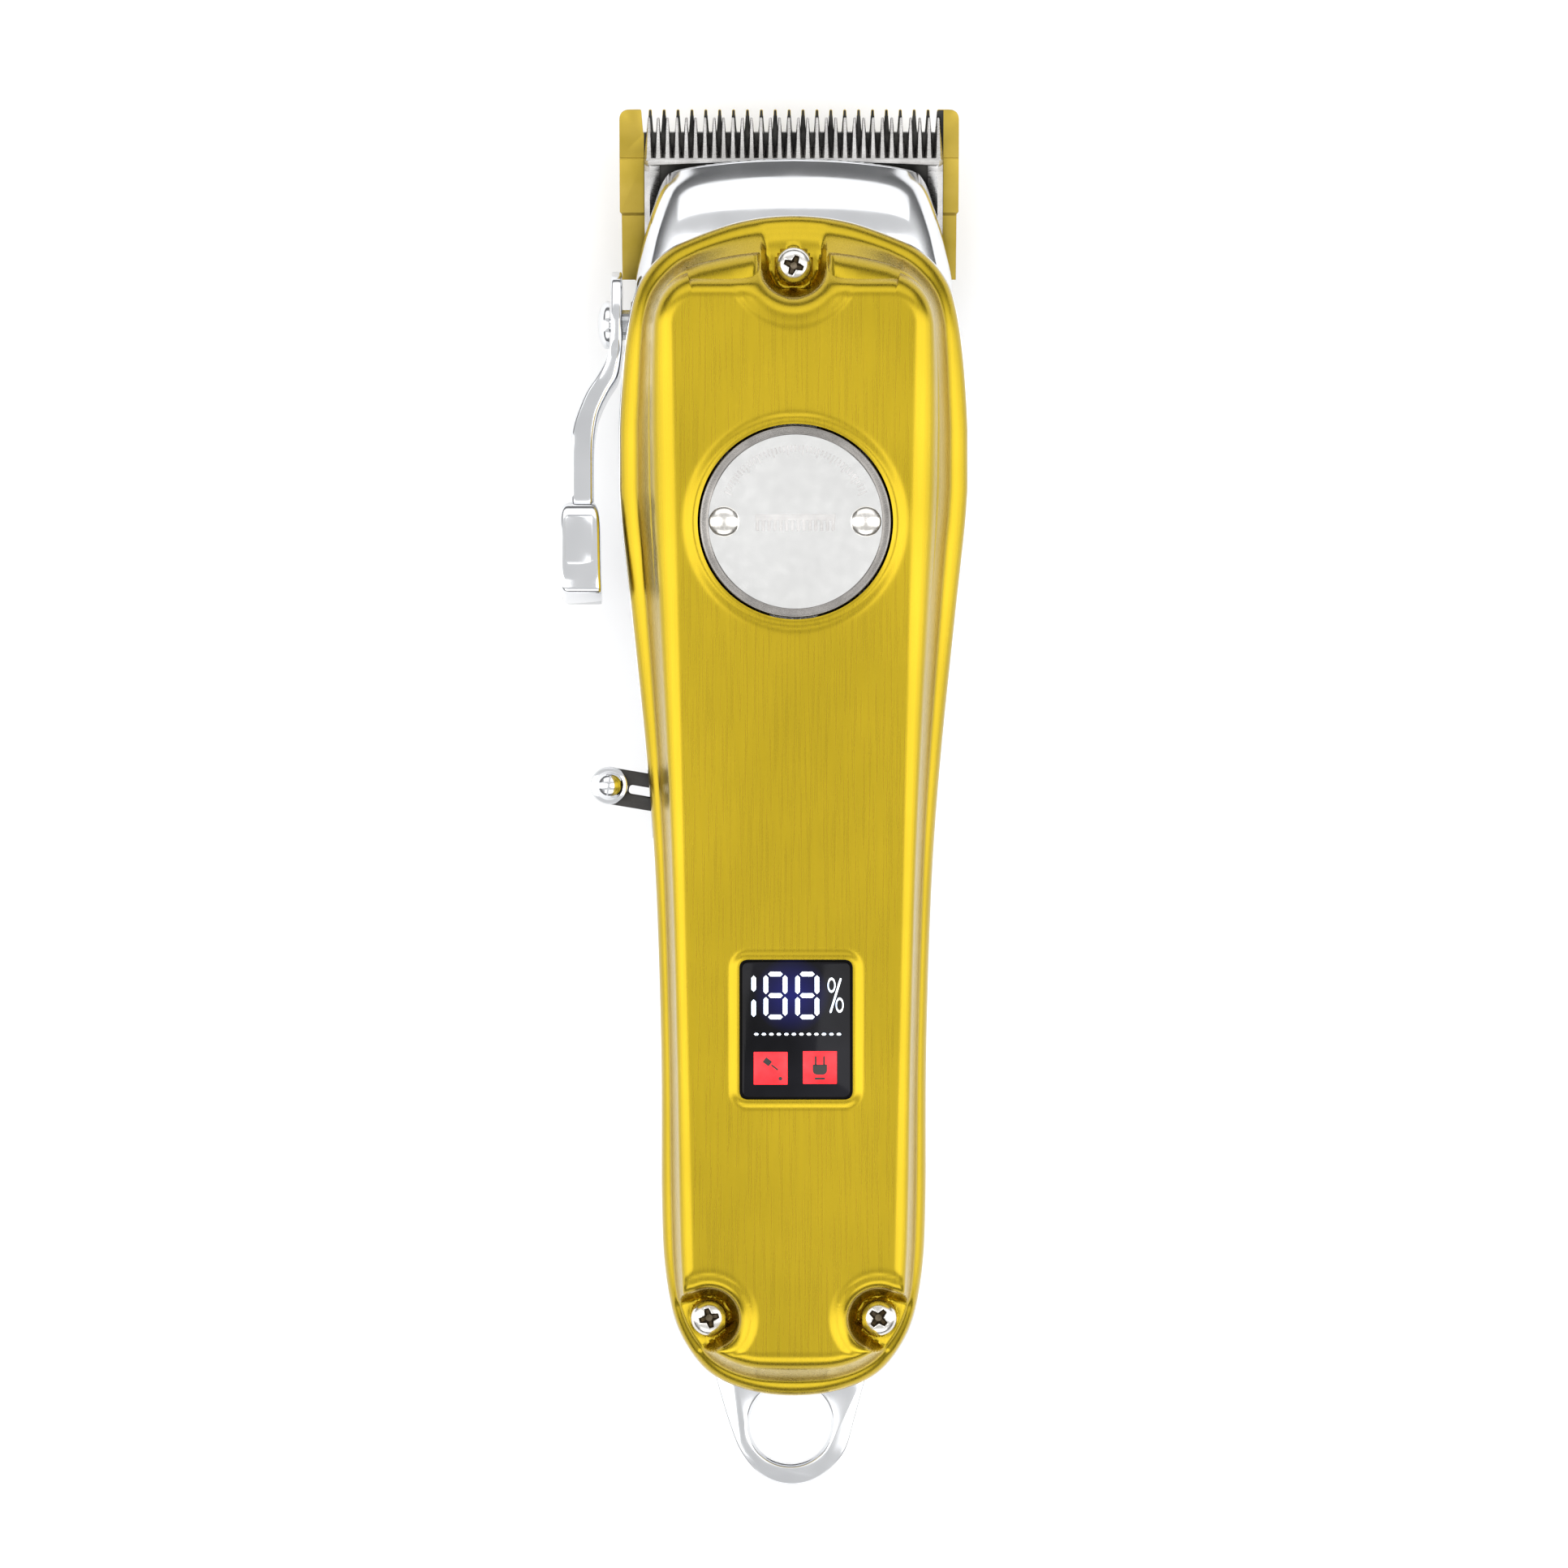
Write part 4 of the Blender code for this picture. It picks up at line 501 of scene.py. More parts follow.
def pocket(x, y, z, centre, turn, floor, collar_r, moat_r, lip_r, way):
    """A screw's well sunk in the shoulder, open along one direction, with a collar for the head."""
    cx, cy, seat = centre
    dx, dy = x - cx, y - cy
    u = -dx * math.sin(turn) + dy * math.cos(turn)
    v = dx * math.cos(turn) + dy * math.sin(turn)
    r = np.where(u > 0, np.abs(v) / (1 + 0.055 * np.clip(u, 0, 6)), np.hypot(u, v))
    centre_r = np.hypot(u, v)
    ground = floor + (way - floor) * smooth_step(u, 0.6, 3.2)
    collar = ground + (seat - 0.12 - ground) * smooth_step(-centre_r, -collar_r - 0.22, -collar_r + 0.08)
    depth = top_z(cy) - floor
    wall = 0.66 * depth * smooth_step(r, moat_r - 0.7, moat_r + 0.7)
    t = np.clip((r - moat_r) / (lip_r - moat_r), 0, 1)
    lip = 0.40 * depth * (1 - (1 - t) ** 2) + 1.1 * np.clip(r - lip_r, 0, None)
    return smooth_min(z, collar + wall + lip, 1.6)


def rounded_distance(x, y, half_x, half_y, corner):
    qx, qy = np.abs(x) - half_x + corner, np.abs(y) - half_y + corner
    outside = np.hypot(np.clip(qx, 0, None), np.clip(qy, 0, None))
    return outside + np.minimum(np.maximum(qx, qy), 0) - corner


def carve(x, y, z):
    """The cover's height with its screw wells, the badge's moulded rim and the display's frame."""
    z = pocket(x, y, z, SCREWS["front_cover_screw"], 0.0, 28.4, 2.3, 3.9, 8.2, 27.9)
    for side, name in ((-1, "left_rear_cover_screw"), (1, "right_rear_cover_screw")):
        z = pocket(x, y, z, SCREWS[name], -side * math.radians(115), 27.2, 2.3, 3.5, 5.6, 27.6)
    r = np.hypot(x - BADGE[0], y - BADGE[1])
    z = z + 0.34 * np.exp(-((r - 13.35) / 0.75) ** 2)
    edge = rounded_distance(x - DISPLAY[0], y - DISPLAY[1], 8.5, 10.2, 2.2)
    return z + 0.34 * smooth_step(-edge, -0.25, 0.75)


def gold_cover():
    """A closed skin: rings from the middle of the underside out to the rim and back over the top."""
    count, samples, across = 1000, 14, 52
    rim = outline(count, 0.14)
    flat = nearest_flat(rim, REAR_Y + 6.4, FRONT_Y - 11.4, 12.9, 16.0, 9.0, 3.5)
    reach = np.linalg.norm(flat - rim, axis=1)
    inward = (flat - rim) / reach[:, None]
    height = top_z(flat[:, 1]) - COVER_Z
    rings = []
    for d, h in np.moveaxis(cover_profile(reach, height, samples), 2, 1):
        place = rim + inward * d[:, None]
        z = COVER_Z + h
        if h.max() > 0.95:
            z = carve(place[:, 0], place[:, 1], z)
        rings.append(np.column_stack([place, z]))
    spine = np.stack([np.zeros(count), np.clip(flat[:, 1], REAR_Y + 16, FRONT_Y - 27)], 1)
    for t in np.linspace(0, 1, across)[1:]:
        place = flat + (spine - flat) * t
        z = carve(place[:, 0], place[:, 1], top_z(place[:, 1]))
        rings.append(np.column_stack([place, z]))
    inner = []
    wall = 1.3
    for t, h in ((0.0, 0.0), (0.0, 1.6), (0.3, 3.4), (0.42, 0.8), (0.6, 0.92), (0.8, 1.0), (1.0, 1.0)):
        place = rim + inward * np.minimum(wall + (reach - wall) * t, reach)[:, None]
        z = COVER_Z + (np.full(count, h) if h > 1.0 or h == 0.0 else (height - wall) * h)
        inner.append(np.column_stack([place, z]))
    for t in (0.25, 0.5, 0.75, 1.0):
        place = flat + (spine - flat) * t
        inner.append(np.column_stack([place, top_z(place[:, 1]) - wall]))
    for ring in inner[1:]:
        ceiling = carve(ring[:, 0], ring[:, 1], top_z(ring[:, 1])) - wall
        ring[:, 2] = np.maximum(np.minimum(ring[:, 2], ceiling), COVER_Z + 0.4)
    verts = np.concatenate(inner[::-1] + rings)
    total = len(inner) + len(rings)
    faces = []
    for a in range(total - 1):
        for i in range(count):
            j = (i + 1) % count
            faces.append((a * count + i, a * count + j, (a + 1) * count + j, (a + 1) * count + i))
    cover = from_data("gold_cover", verts, faces, GOLD)
    window = prism("window_cut", rectangle(7.4, 9.15, 1.2), -4, 4, BLACK, top_place(*DISPLAY))
    seat = turned("badge_cut", ((12.75, -1.6), (12.75, 5)), BLACK, top_place(*BADGE), 160)
    combine(cover, "DIFFERENCE", [window, seat])
    return piece(cover, "housing", "gold_cover", "top_cover", angle=48)


gold_cover()

# ---------------------------------------------------------------- chrome base with its nose

BLADE_TILT = math.radians(15.0)
fixed_low, fixed_high = box("fixed_blade")
moving_low, moving_high = box("moving_blade")
TIP_Y, TIP_Z = moving_high.y, 17.0
BLADE_FRAME = shift(0, TIP_Y, TIP_Z) @ Matrix.Rotation(BLADE_TILT, 4, "X")
FIXED_X = ((fixed_low.x + fixed_high.x) / 2, (fixed_high.x - fixed_low.x) / 2)
ALONG_X = Matrix.Rotation(math.pi / 2, 4, "Y")
ALONG_Y = Matrix.Rotation(-math.pi / 2, 4, "X")
loop_low, loop_high = box("hanging_loop")
bush_low, bush_high = box("lever_bushing")
arm_low, arm_high = box("switch_arm")
socket_low, socket_high = box("charging_socket")
LEVER = ((bush_low.y + bush_high.y) / 2, (bush_low.z + bush_high.z) / 2)


def block(name, low, high, place=None):
    outline_xy = [(low[0], low[1]), (high[0], low[1]), (high[0], high[1]), (low[0], high[1])]
    return prism(name, outline_xy, low[2], high[2], CHROME, place)


def side_prism(name, points, half, place=None):
    """An outline in Y and Z pushed along X, both ways."""
    rings = [[(x, a, b) for a, b in points] for x in (-half, half)]
    return loft(name, rings, CHROME, place)


def quarter(rim, flat, rim_z, flat_z, steps):
    """Rings of a quarter round between a rim and a flat."""
    rings = []
    for angle in np.linspace(0, math.pi / 2, steps + 1)[1:]:
        place = rim + (flat - rim) * (1 - math.cos(angle))
        z = rim_z + (flat_z - rim_z) * math.sin(angle)
        rings.append(np.column_stack([place, np.full(len(rim), z)]))
    return rings


def nose():
    """Superellipse sections along Y, their lip bowed and rolled under."""
    stations = catmull(((60.0, 0.90, 23.85, 0.0), (67.0, 0.915, 23.85, 0.0), (72.4, 0.875, 23.75, 0.0),
                        (77.0, 0.830, 23.35, 0.6), (81.0, 0.790, 21.9, 1.3), (84.2, 0.752, 19.6, 1.7)), 9)
    rings = []
    foot = TIP_Z - 6.0
    lip = [(y, share, roof, bow, 0.0) for y, share, roof, bow in stations[:-1]]
    y, share, roof, bow = stations[-1]
    lip_r = 0.45
    for angle in np.linspace(0, math.pi / 2, 5):
        lip.append((y - lip_r * (1 - math.sin(angle)), share, roof + 0.05, bow,
                    lip_r * (1 - math.cos(angle))))
    for y, share, roof, bow, inset in lip:
        half = share * HALF / 0.998 - inset
        a = np.linspace(0, math.pi, 129)
        x = half * np.sign(np.cos(a)) * np.abs(np.cos(a)) ** 0.42
        z = foot + (roof - inset - foot) * np.sin(a) ** 0.42
        rings.append(np.column_stack([x, y - bow * (x / half) ** 2, z]))
    return loft("nose_form", rings, CHROME)


def chrome_base():
    """A quarter-round tub with the nose added, then hollowed and cut for every piece that fits it."""
    count = 480
    rim = outline(count, 0.0)
    land = nearest_flat(rim, REAR_Y + 15.0, 52.0, 8.0, 13.0, 5.0, 5.0)
    rings = []
    for inset, z in ((0.25, SEAM_Z), (0.08, SEAM_Z - 0.08), (0.0, SEAM_Z - 0.3), (0.0, 22.0), (0.0, 20.0)):
        points = outline(count, inset)
        rings.append(np.column_stack([points, np.full(count, z)]))
    rings += quarter(rim, land, 20.0, 0.0, 26)
    base = loft("chrome_base", rings, CHROME)
    combine(base, "UNION", [nose()])

    wall = 1.8
    inner = outline(200, wall)
    inner[:, 1] = np.minimum(inner[:, 1], 66.0)
    deck = nearest_flat(inner, REAR_Y + 15.0, 51.0, 7.5, 12.5, 5.0, 5.0)
    hollow_rings = [np.column_stack([inner, np.full(200, z)]) for z in (SEAM_Z + 1.0, 20.0)]
    hollow_rings += quarter(inner, deck, 20.0, wall, 6)
    cutters = [loft("hollow", hollow_rings, CHROME)]
    heel = -22.8
    cutters.append(side_prism("blade_bay", ((heel, -4.0), (heel, 2.5), (12, 2.5), (12, -40),
                                            (heel + 4, -40)), 46, BLADE_FRAME))
    cutters.append(side_prism("throat", ((59.3, 11.0), (59.3, 20.25), (76.0, 20.75), (82.3, 18.2),
                                         (82.3, 15.5)), 15.5))
    cutters.append(block("carriage_slot", (-19.4, -32.5, -1.1), (17.0, -17.0, 3.0), BLADE_FRAME))
    cutters.append(block("ear_pocket", (-19.4, -32.5, -0.9), (-12.7, -22.6, 6.5), BLADE_FRAME))
    bore = (bush_high.z - bush_low.z) / 2 + 0.25
    cutters.append(turned("lever_bore", ((bore, -40), (bore, -12)), CHROME, shift(0, *LEVER) @ ALONG_X, 48))
    socket = (socket_high.x - socket_low.x) / 2 + 0.25
    cutters.append(turned("socket_bore", ((socket, -90), (socket, -70)), CHROME,
                          shift(0, 0, (socket_low.z + socket_high.z) / 2) @ ALONG_Y, 64))
    cutters.append(block("switch_notch", (-46, -5.6, arm_low.z - 0.3), (-12.9, 3.4, SEAM_Z + 5)))
    cutters.append(block("loop_notch", (-11.1, REAR_Y - 5, loop_low.z - 0.3),
                         (10.1, REAR_Y + 7.0, SEAM_Z + 5)))
    combine(base, "DIFFERENCE", cutters)
    return piece(base, "housing", "chrome", "base_housing", angle=40)


chrome_base()

# ---------------------------------------------------------------- blades, in the blade frame


def blade_part(name, rings, finish):
    return loft(name, rings, finish, BLADE_FRAME)


def fixed_blade():
    """Gold plate with narrow teeth and two wide corner teeth, with painted shade where the moving blade
    rides over it.
    """
    middle, half = FIXED_X
    left, right = middle - half, middle + half
    tip = 0.98
    corner = rounded([(left, -6.0), (left, tip), (left + 2.9, tip), (left + 3.15, -2.2)],
                     [0.0, 1.5, 0.25, 0.0], 8)
    edge = corner[1:]
    pitch = 1.84
    for i in range(21):
        x = middle + (i - 10) * pitch
        edge += [(x - 0.42, -2.15), (x - 0.36, -1.6), (x - 0.23, 0.2), (x - 0.20, tip - 0.12),
                 (x - 0.10, tip), (x + 0.10, tip), (x + 0.20, tip - 0.12), (x + 0.23, 0.2),
                 (x + 0.36, -1.6), (x + 0.42, -2.15)]
    mirrored = [(2 * middle - x, v) for x, v in reversed(edge[:len(corner) - 1])]
    edge += mirrored
    edge = np.array(edge)
    outline_points = np.vstack([edge, [(right, -12.8), (right - 0.25, -13.2), (right - 0.3, -22.2),
                                       (left + 0.3, -22.2), (left + 0.25, -13.2), (left, -12.8)]])
    body = prism("fixed_plate", outline_points, -4.5, 1.0, GOLD_BLADE, BLADE_FRAME)
    upper = [(-23.0, -1.0), (-22.2, -1.0), (-13.4, -0.55), (-12.9, -0.12), (-5.72, -0.03), (-5.66, -0.10),
             (-5.54, -0.10), (-5.48, 0.0), (1.5, 0.0)]
    lower = [(1.5, -0.30), (0.98, -0.36), (-4.9, -1.5), (-5.9, -1.8), (-12.8, -3.2), (-23.0, -3.2)]
    form = side_prism("fixed_form", upper + lower, 40, BLADE_FRAME)
    combine(body, "INTERSECT", [form])
    holes = []
    for side in (-1, 1):
        place = BLADE_FRAME @ shift(side * 9.5, -20.3)
        for radius, top in ((1.5, 10), (2.7, -1.7)):
            holes.append(turned(f"hole_{side}_{radius}", ((radius, -10), (radius, top)), GOLD_BLADE,
                                place, 48))
    combine(body, "DIFFERENCE", holes)
    bevel(body, 0.06, 2, 40)
    ground_half = (moving_high.x - moving_low.x) / 2 + 0.05
    split = bmesh.new()
    split.from_mesh(body.data)
    for side in (-1, 1):
        bmesh.ops.bisect_plane(split, geom=split.verts[:] + split.edges[:] + split.faces[:],
                               plane_co=(side * ground_half * MM, 0, 0), plane_no=(1, 0, 0))
    split.to_mesh(body.data)
    split.free()
    body.name = "fixed_blade_plate"
    # The ground strip under the moving blade gets painted shade.
    paint(body, (GOLD_BLADE, PAINTED_SHADE_STEEL),
          lambda at: abs(at.x) < ground_half and -16 < at.y < -0.1 and at.z > -1.4, BLADE_FRAME)
    return piece(body, "blade_slide", "gold_blade", "fixed_blade", angle=30)


def joined(name, parts):
    """Several meshes as one object; the first gives the materials."""
    bm = bmesh.new()
    for part in parts:
        bm.from_mesh(part.data)
    mesh = bpy.data.meshes.new(name)
    bm.to_mesh(mesh)
    bm.free()
    for finish in parts[0].data.materials:
        mesh.materials.append(finish)
    for part in parts:
        bpy.data.objects.remove(part)
    obj = bpy.data.objects.new(name, mesh)
    bpy.context.scene.collection.objects.link(obj)
    return obj


def moving_blade():
    """Needle teeth that widen into a ground land, a step down behind it and chamfered side rails."""
    half = (moving_high.x - moving_low.x) / 2
    middle = (moving_high.x + moving_low.x) / 2
    low = 0.2
    pitch = 2 * half / 32
    sections = ((0.0, 0.10, 0.05, 0.50), (-0.14, 0.17, 0.10, 0.58), (-1.4, 0.25, 0.15, 0.80),
                (-2.4, 0.33, 0.19, 1.00), (-3.6, 0.45, 0.22, 1.26), (-4.7, 0.57, 0.25, 1.55),
                (-5.25, 0.615, 0.30, 1.74), (-5.5, 0.62, 0.40, 1.82))
    parts = []
    for i in range(32):
        x = middle + (i - 15.5) * pitch
        rings = []
        for v, wide, ridge, top in sections:
            shoulder_w = low + 0.5 * (top - low)
            rings.append([(x - wide, v, low), (x - wide, v, shoulder_w), (x - ridge, v, top),
                          (x + ridge, v, top), (x + wide, v, shoulder_w), (x + wide, v, low)])
        parts.append(blade_part(f"tooth_{i}", rings, BLADE_STEEL))
    rings = []
    edge = half - 0.02
    for x in (-edge, -edge + 0.5, -edge + 0.55, *np.linspace(-edge + 0.9, edge - 0.9, 41),
              edge - 0.55, edge - 0.5, edge):
        outer = abs(x) > edge - 0.52
        share = x / edge
        bow = 0.55 * (1 - share ** 2)
        rim_w = 0.9 if outer and abs(x) > edge - 0.1 else 1.85
        step_w = min(rim_w, 0.75)
        step_v = -6.35 + bow
        front_w = min(rim_w, 1.72)
        rings.append([(middle + x, -5.2, low), (middle + x, -5.2, front_w), (middle + x, -5.5, rim_w),
                      (middle + x, step_v + 0.18, rim_w), (middle + x, step_v + 0.02, rim_w - 0.14),
                      (middle + x, step_v - 0.02, step_w), (middle + x, -15.0, step_w),
                      (middle + x, -16.8, 0.55), (middle + x, -16.8, low)])
    parts.append(blade_part("land", rings, BLADE_STEEL))
    for side in (-1, 1):
        rail = [(-6.0, 1.85, 0.9), (-7.0, 1.86, 0.9), (-7.05, 1.62, 0.9), (-15.0, 1.5, 0.75),
                (-16.8, 0.8, 0.5)]
        rings = []
        for v, top, outer_w in rail:
            a, b, c = middle + side * edge, middle + side * (edge - 0.7), middle + side * (edge - 2.0)
            rings.append([(a, v, low), (a, v, outer_w), (b, v, top), (c, v, 0.4 * top + 0.4), (c, v, low)])
        parts.append(blade_part(f"rail_{side}", rings, BLADE_STEEL))
    blade = joined("moving_blade_steel", parts)
    # The low step behind the land gets painted shade, standing for the dark gap under the nose lip.
    paint(blade, (BLADE_STEEL, PAINTED_SHADE_STEEL),
          lambda at: at.y < -5.6 and at.z < 1.3 and abs(at.x - middle) < edge - 2.2, BLADE_FRAME)
    return piece(blade, "cutter", "blade_steel", "moving_blade", angle=25)


fixed_blade()
moving_blade()

# ---------------------------------------------------------------- taper lever

LEVER_PLANE = -float(rim_half(LEVER[0] - 4.0)) - 0.3


def lever():
    """A bent arm with rounded edges, a flat eye at the pivot and a dished thumb pad."""
    stations = np.array((
        (-6.8, 0.15, 1.40, 3.4), (-6.3, 0.05, 1.50, 5.4), (-5.2, 0.0, 1.50, 8.8), (-3.2, 0.0, 1.5, 10.0),
        (0.0, 0.0, 1.5, 10.4), (3.0, 0.0, 1.55, 9.2), (5.0, 0.15, 2.0, 7.2), (7.5, 0.6, 3.4, 6.0),
        (9.6, 1.8, 4.8, 5.6), (12.2, 3.0, 5.9, 5.4), (14.6, 3.5, 6.6, 5.2), (17.0, 3.7, 6.7, 5.0),
        (20.0, 3.72, 6.72, 4.9), (24.4, 3.7, 6.7, 4.8)))
    pad = np.array((
        (24.5, 3.65, 6.9, 5.4), (24.7, 3.5, 7.3, 6.4), (25.2, 3.3, 7.75, 7.8), (26.2, 3.0, 8.0, 8.7),
        (27.6, 2.85, 8.1, 9.0), (31.0, 2.78, 8.1, 9.0), (34.4, 2.7, 8.1, 9.0), (35.8, 2.65, 8.0, 8.8),
        (36.6, 2.62, 7.75, 8.3), (37.0, 2.7, 7.3, 7.2)))
    rings = []
    for row in list(catmull(stations, 5)) + list(catmull(pad, 4)):
        along, inner, outer, height = row
        half = height / 2
        section = rounded([(inner, -half), (outer, -half), (outer, half), (inner, half)],
                          min(0.7, 0.3 * (outer - inner)), 5)
        rings.append([(-across, -along, up) for across, up in section])
    plane = shift(LEVER_PLANE, *LEVER)
    place = plane @ Matrix.Rotation(math.radians(-10), 4, "X")
    arm = loft("chrome_lever", rings, CHROME, place)
    eye = turned("eye", ((2.3, -10), (2.3, 10)), CHROME, plane @ ALONG_X, 64)
    scoop = rounded([(-7.35, -26.6), (-3.75, -26.6), (-3.75, -33.0), (-7.35, -33.0)], 0.7, 6)
    scoops = [prism(f"scoop_{low}", scoop, low, high, CHROME, place)
              for low, high in ((3.85, 8), (-8, -3.85))]
    combine(arm, "DIFFERENCE", [eye, *scoops])
    bevel(arm, 0.16, 3, 50)
    return piece(arm, "lever", "chrome", "taper_lever", angle=50)


lever()

# ---------------------------------------------------------------- screws


def dome(name, radius, height, shank, length, finish, place, node, body="housing", slot="screw_steel"):
    """A domed head on a shank, its seat at the place's origin."""
    edge = 0.22 * height
    profile = [(shank, -length), (shank, 0.0), (radius, 0.0), (radius, edge)]
    for angle in np.linspace(0, math.pi / 2, 9)[1:-1]:
        profile.append((radius * math.cos(angle), edge + (height - edge) * math.sin(angle)))
    profile.append((0.02 * radius, height))
    return piece(turned(name, profile, finish, place, 64), body, slot, node, angle=50)


def cover_screw(node, turn):
    """A pan head with a tapered cross recess."""
    x, y, seat = SCREWS[node]
    shank_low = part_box(node)[0].z / MM
    place = shift(x, y, seat)
    profile = [(1.1, shank_low - seat), (1.1, 0.0), (2.2, 0.0), (2.4, 0.25), (2.4, 0.75), (2.3, 1.2),
               (2.05, 1.6), (1.6, 1.87), (1.0, 1.97), (0.1, 2.0)]
    head = turned(f"{node}_pan", profile, SCREW_STEEL, place, 72)
    rings = []
    for z, reach, half in ((2.2, 1.42, 0.42), (1.2, 1.05, 0.30), (0.7, 0.42, 0.24)):
        ring = []
        for quarter_turn in range(4):
            angle = turn + quarter_turn * math.pi / 2
            for a, b in ((reach, -0.8 * half), (reach, 0.8 * half), (half * 1.25, half * 1.25)):
                ring.append((a * math.cos(angle) - b * math.sin(angle),
                             a * math.sin(angle) + b * math.cos(angle), z))
        rings.append(ring)
    combine(head, "DIFFERENCE", [loft("cross", rings, RECESS_PAINTED_SHADE, place)])
    bevel(head, 0.05, 2, 35)
    # The cross recess gets painted shade.
    paint(head, (SCREW_STEEL, RECESS_PAINTED_SHADE),
          lambda at: math.hypot(at.x, at.y) < 1.5 and 0.2 < at.z < 1.88, place)
    return piece(head, "housing", "screw_steel", node, angle=30)


cover_screw("front_cover_screw", math.radians(70))
cover_screw("left_rear_cover_screw", math.radians(15))
cover_screw("right_rear_cover_screw", math.radians(50))

# ---------------------------------------------------------------- badge


def comb_mark():
    """A plain comb with tick marks round it, standing where the photographed lettering was."""
    marks = [block("comb_back", (-5.2, 0.35, -0.13), (5.2, 1.15, 1.0))]
    for i in range(14):
        x = -4.95 + i * 0.7615
        marks.append(block(f"comb_tooth_{i}", (x - 0.2, -1.0, -0.13), (x + 0.2, 0.5, 1.0)))
    for i in range(45):
        angle = math.radians(-66 + 3 * i)
        turn = Matrix.Rotation(-angle, 4, "Z")
        inner = 9.35 if i % 4 else 8.95
        marks.append(block(f"tick_{i}", (-0.1, inner, -0.13), (0.1, 10.15, 1.0), turn))
    return marks


def badge():
    place = top_place(*BADGE)
    ring_top, ring_low, plate_top = 0.2, -0.35, -0.45
    profile = [(11.35, ring_low), (12.5, ring_low), (12.5, ring_top - 0.2), (12.44, ring_top - 0.08),
               (12.3, ring_top - 0.01), (12.2, ring_top), (11.6, ring_top), (11.45, ring_top - 0.03),
               (11.35, ring_top - 0.14)]
    ring = turned("turned_badge_ring", profile, RING_STEEL, place, 160, True)
    piece(ring, "housing", "brushed_steel", "badge_ring", angle=40)
    plate = turned("badge_disc", [(12.25, plate_top - 0.6), (12.25, 0.0), (0.01, 0.0)], PLATE, None, 128)
    marks = comb_mark()
    for mark in marks:
        mark.data.transform(shift(0, -0.2))
    spots = (-9.3, 9.2)
    marks += [turned(f"badge_hole_{x}", ((1.1, -3), (1.1, 3)), PLATE, shift(x, 0), 32) for x in spots]
    combine(plate, "DIFFERENCE", marks)
    paint(plate, (PLATE, PLATE_ENGRAVED), lambda at: -0.2 < at.z < -0.01)
    plate.data.transform(place @ shift(0, 0, plate_top))
    piece(plate, "housing", "polished_plate", "badge_plate", angle=30)
    for name, x in (("left_badge_screw", spots[0]), ("right_badge_screw", spots[1])):
        spot = place @ shift(x, 0, plate_top + 0.05)
        dome(f"{name}_dome", 2.0, 1.15, 0.85, 1.5, SCREW_STEEL, spot, name)


badge()

# ---------------------------------------------------------------- display


def stroke(name, x0, y0, x1, y1, half, top, finish):
    """A bar with pointed ends between two points on the lens, in its own millimetres."""
    run = Vector((x1 - x0, y1 - y0))
    side = Vector((-run.y, run.x)).normalized() * half
    along = run.normalized() * half
    start, end = Vector((x0, y0)), Vector((x1, y1))
    points = [start, start + along - side, end - along - side, end, end - along + side,
              start + along + side]
    return prism(name, points, -0.3, top, finish)


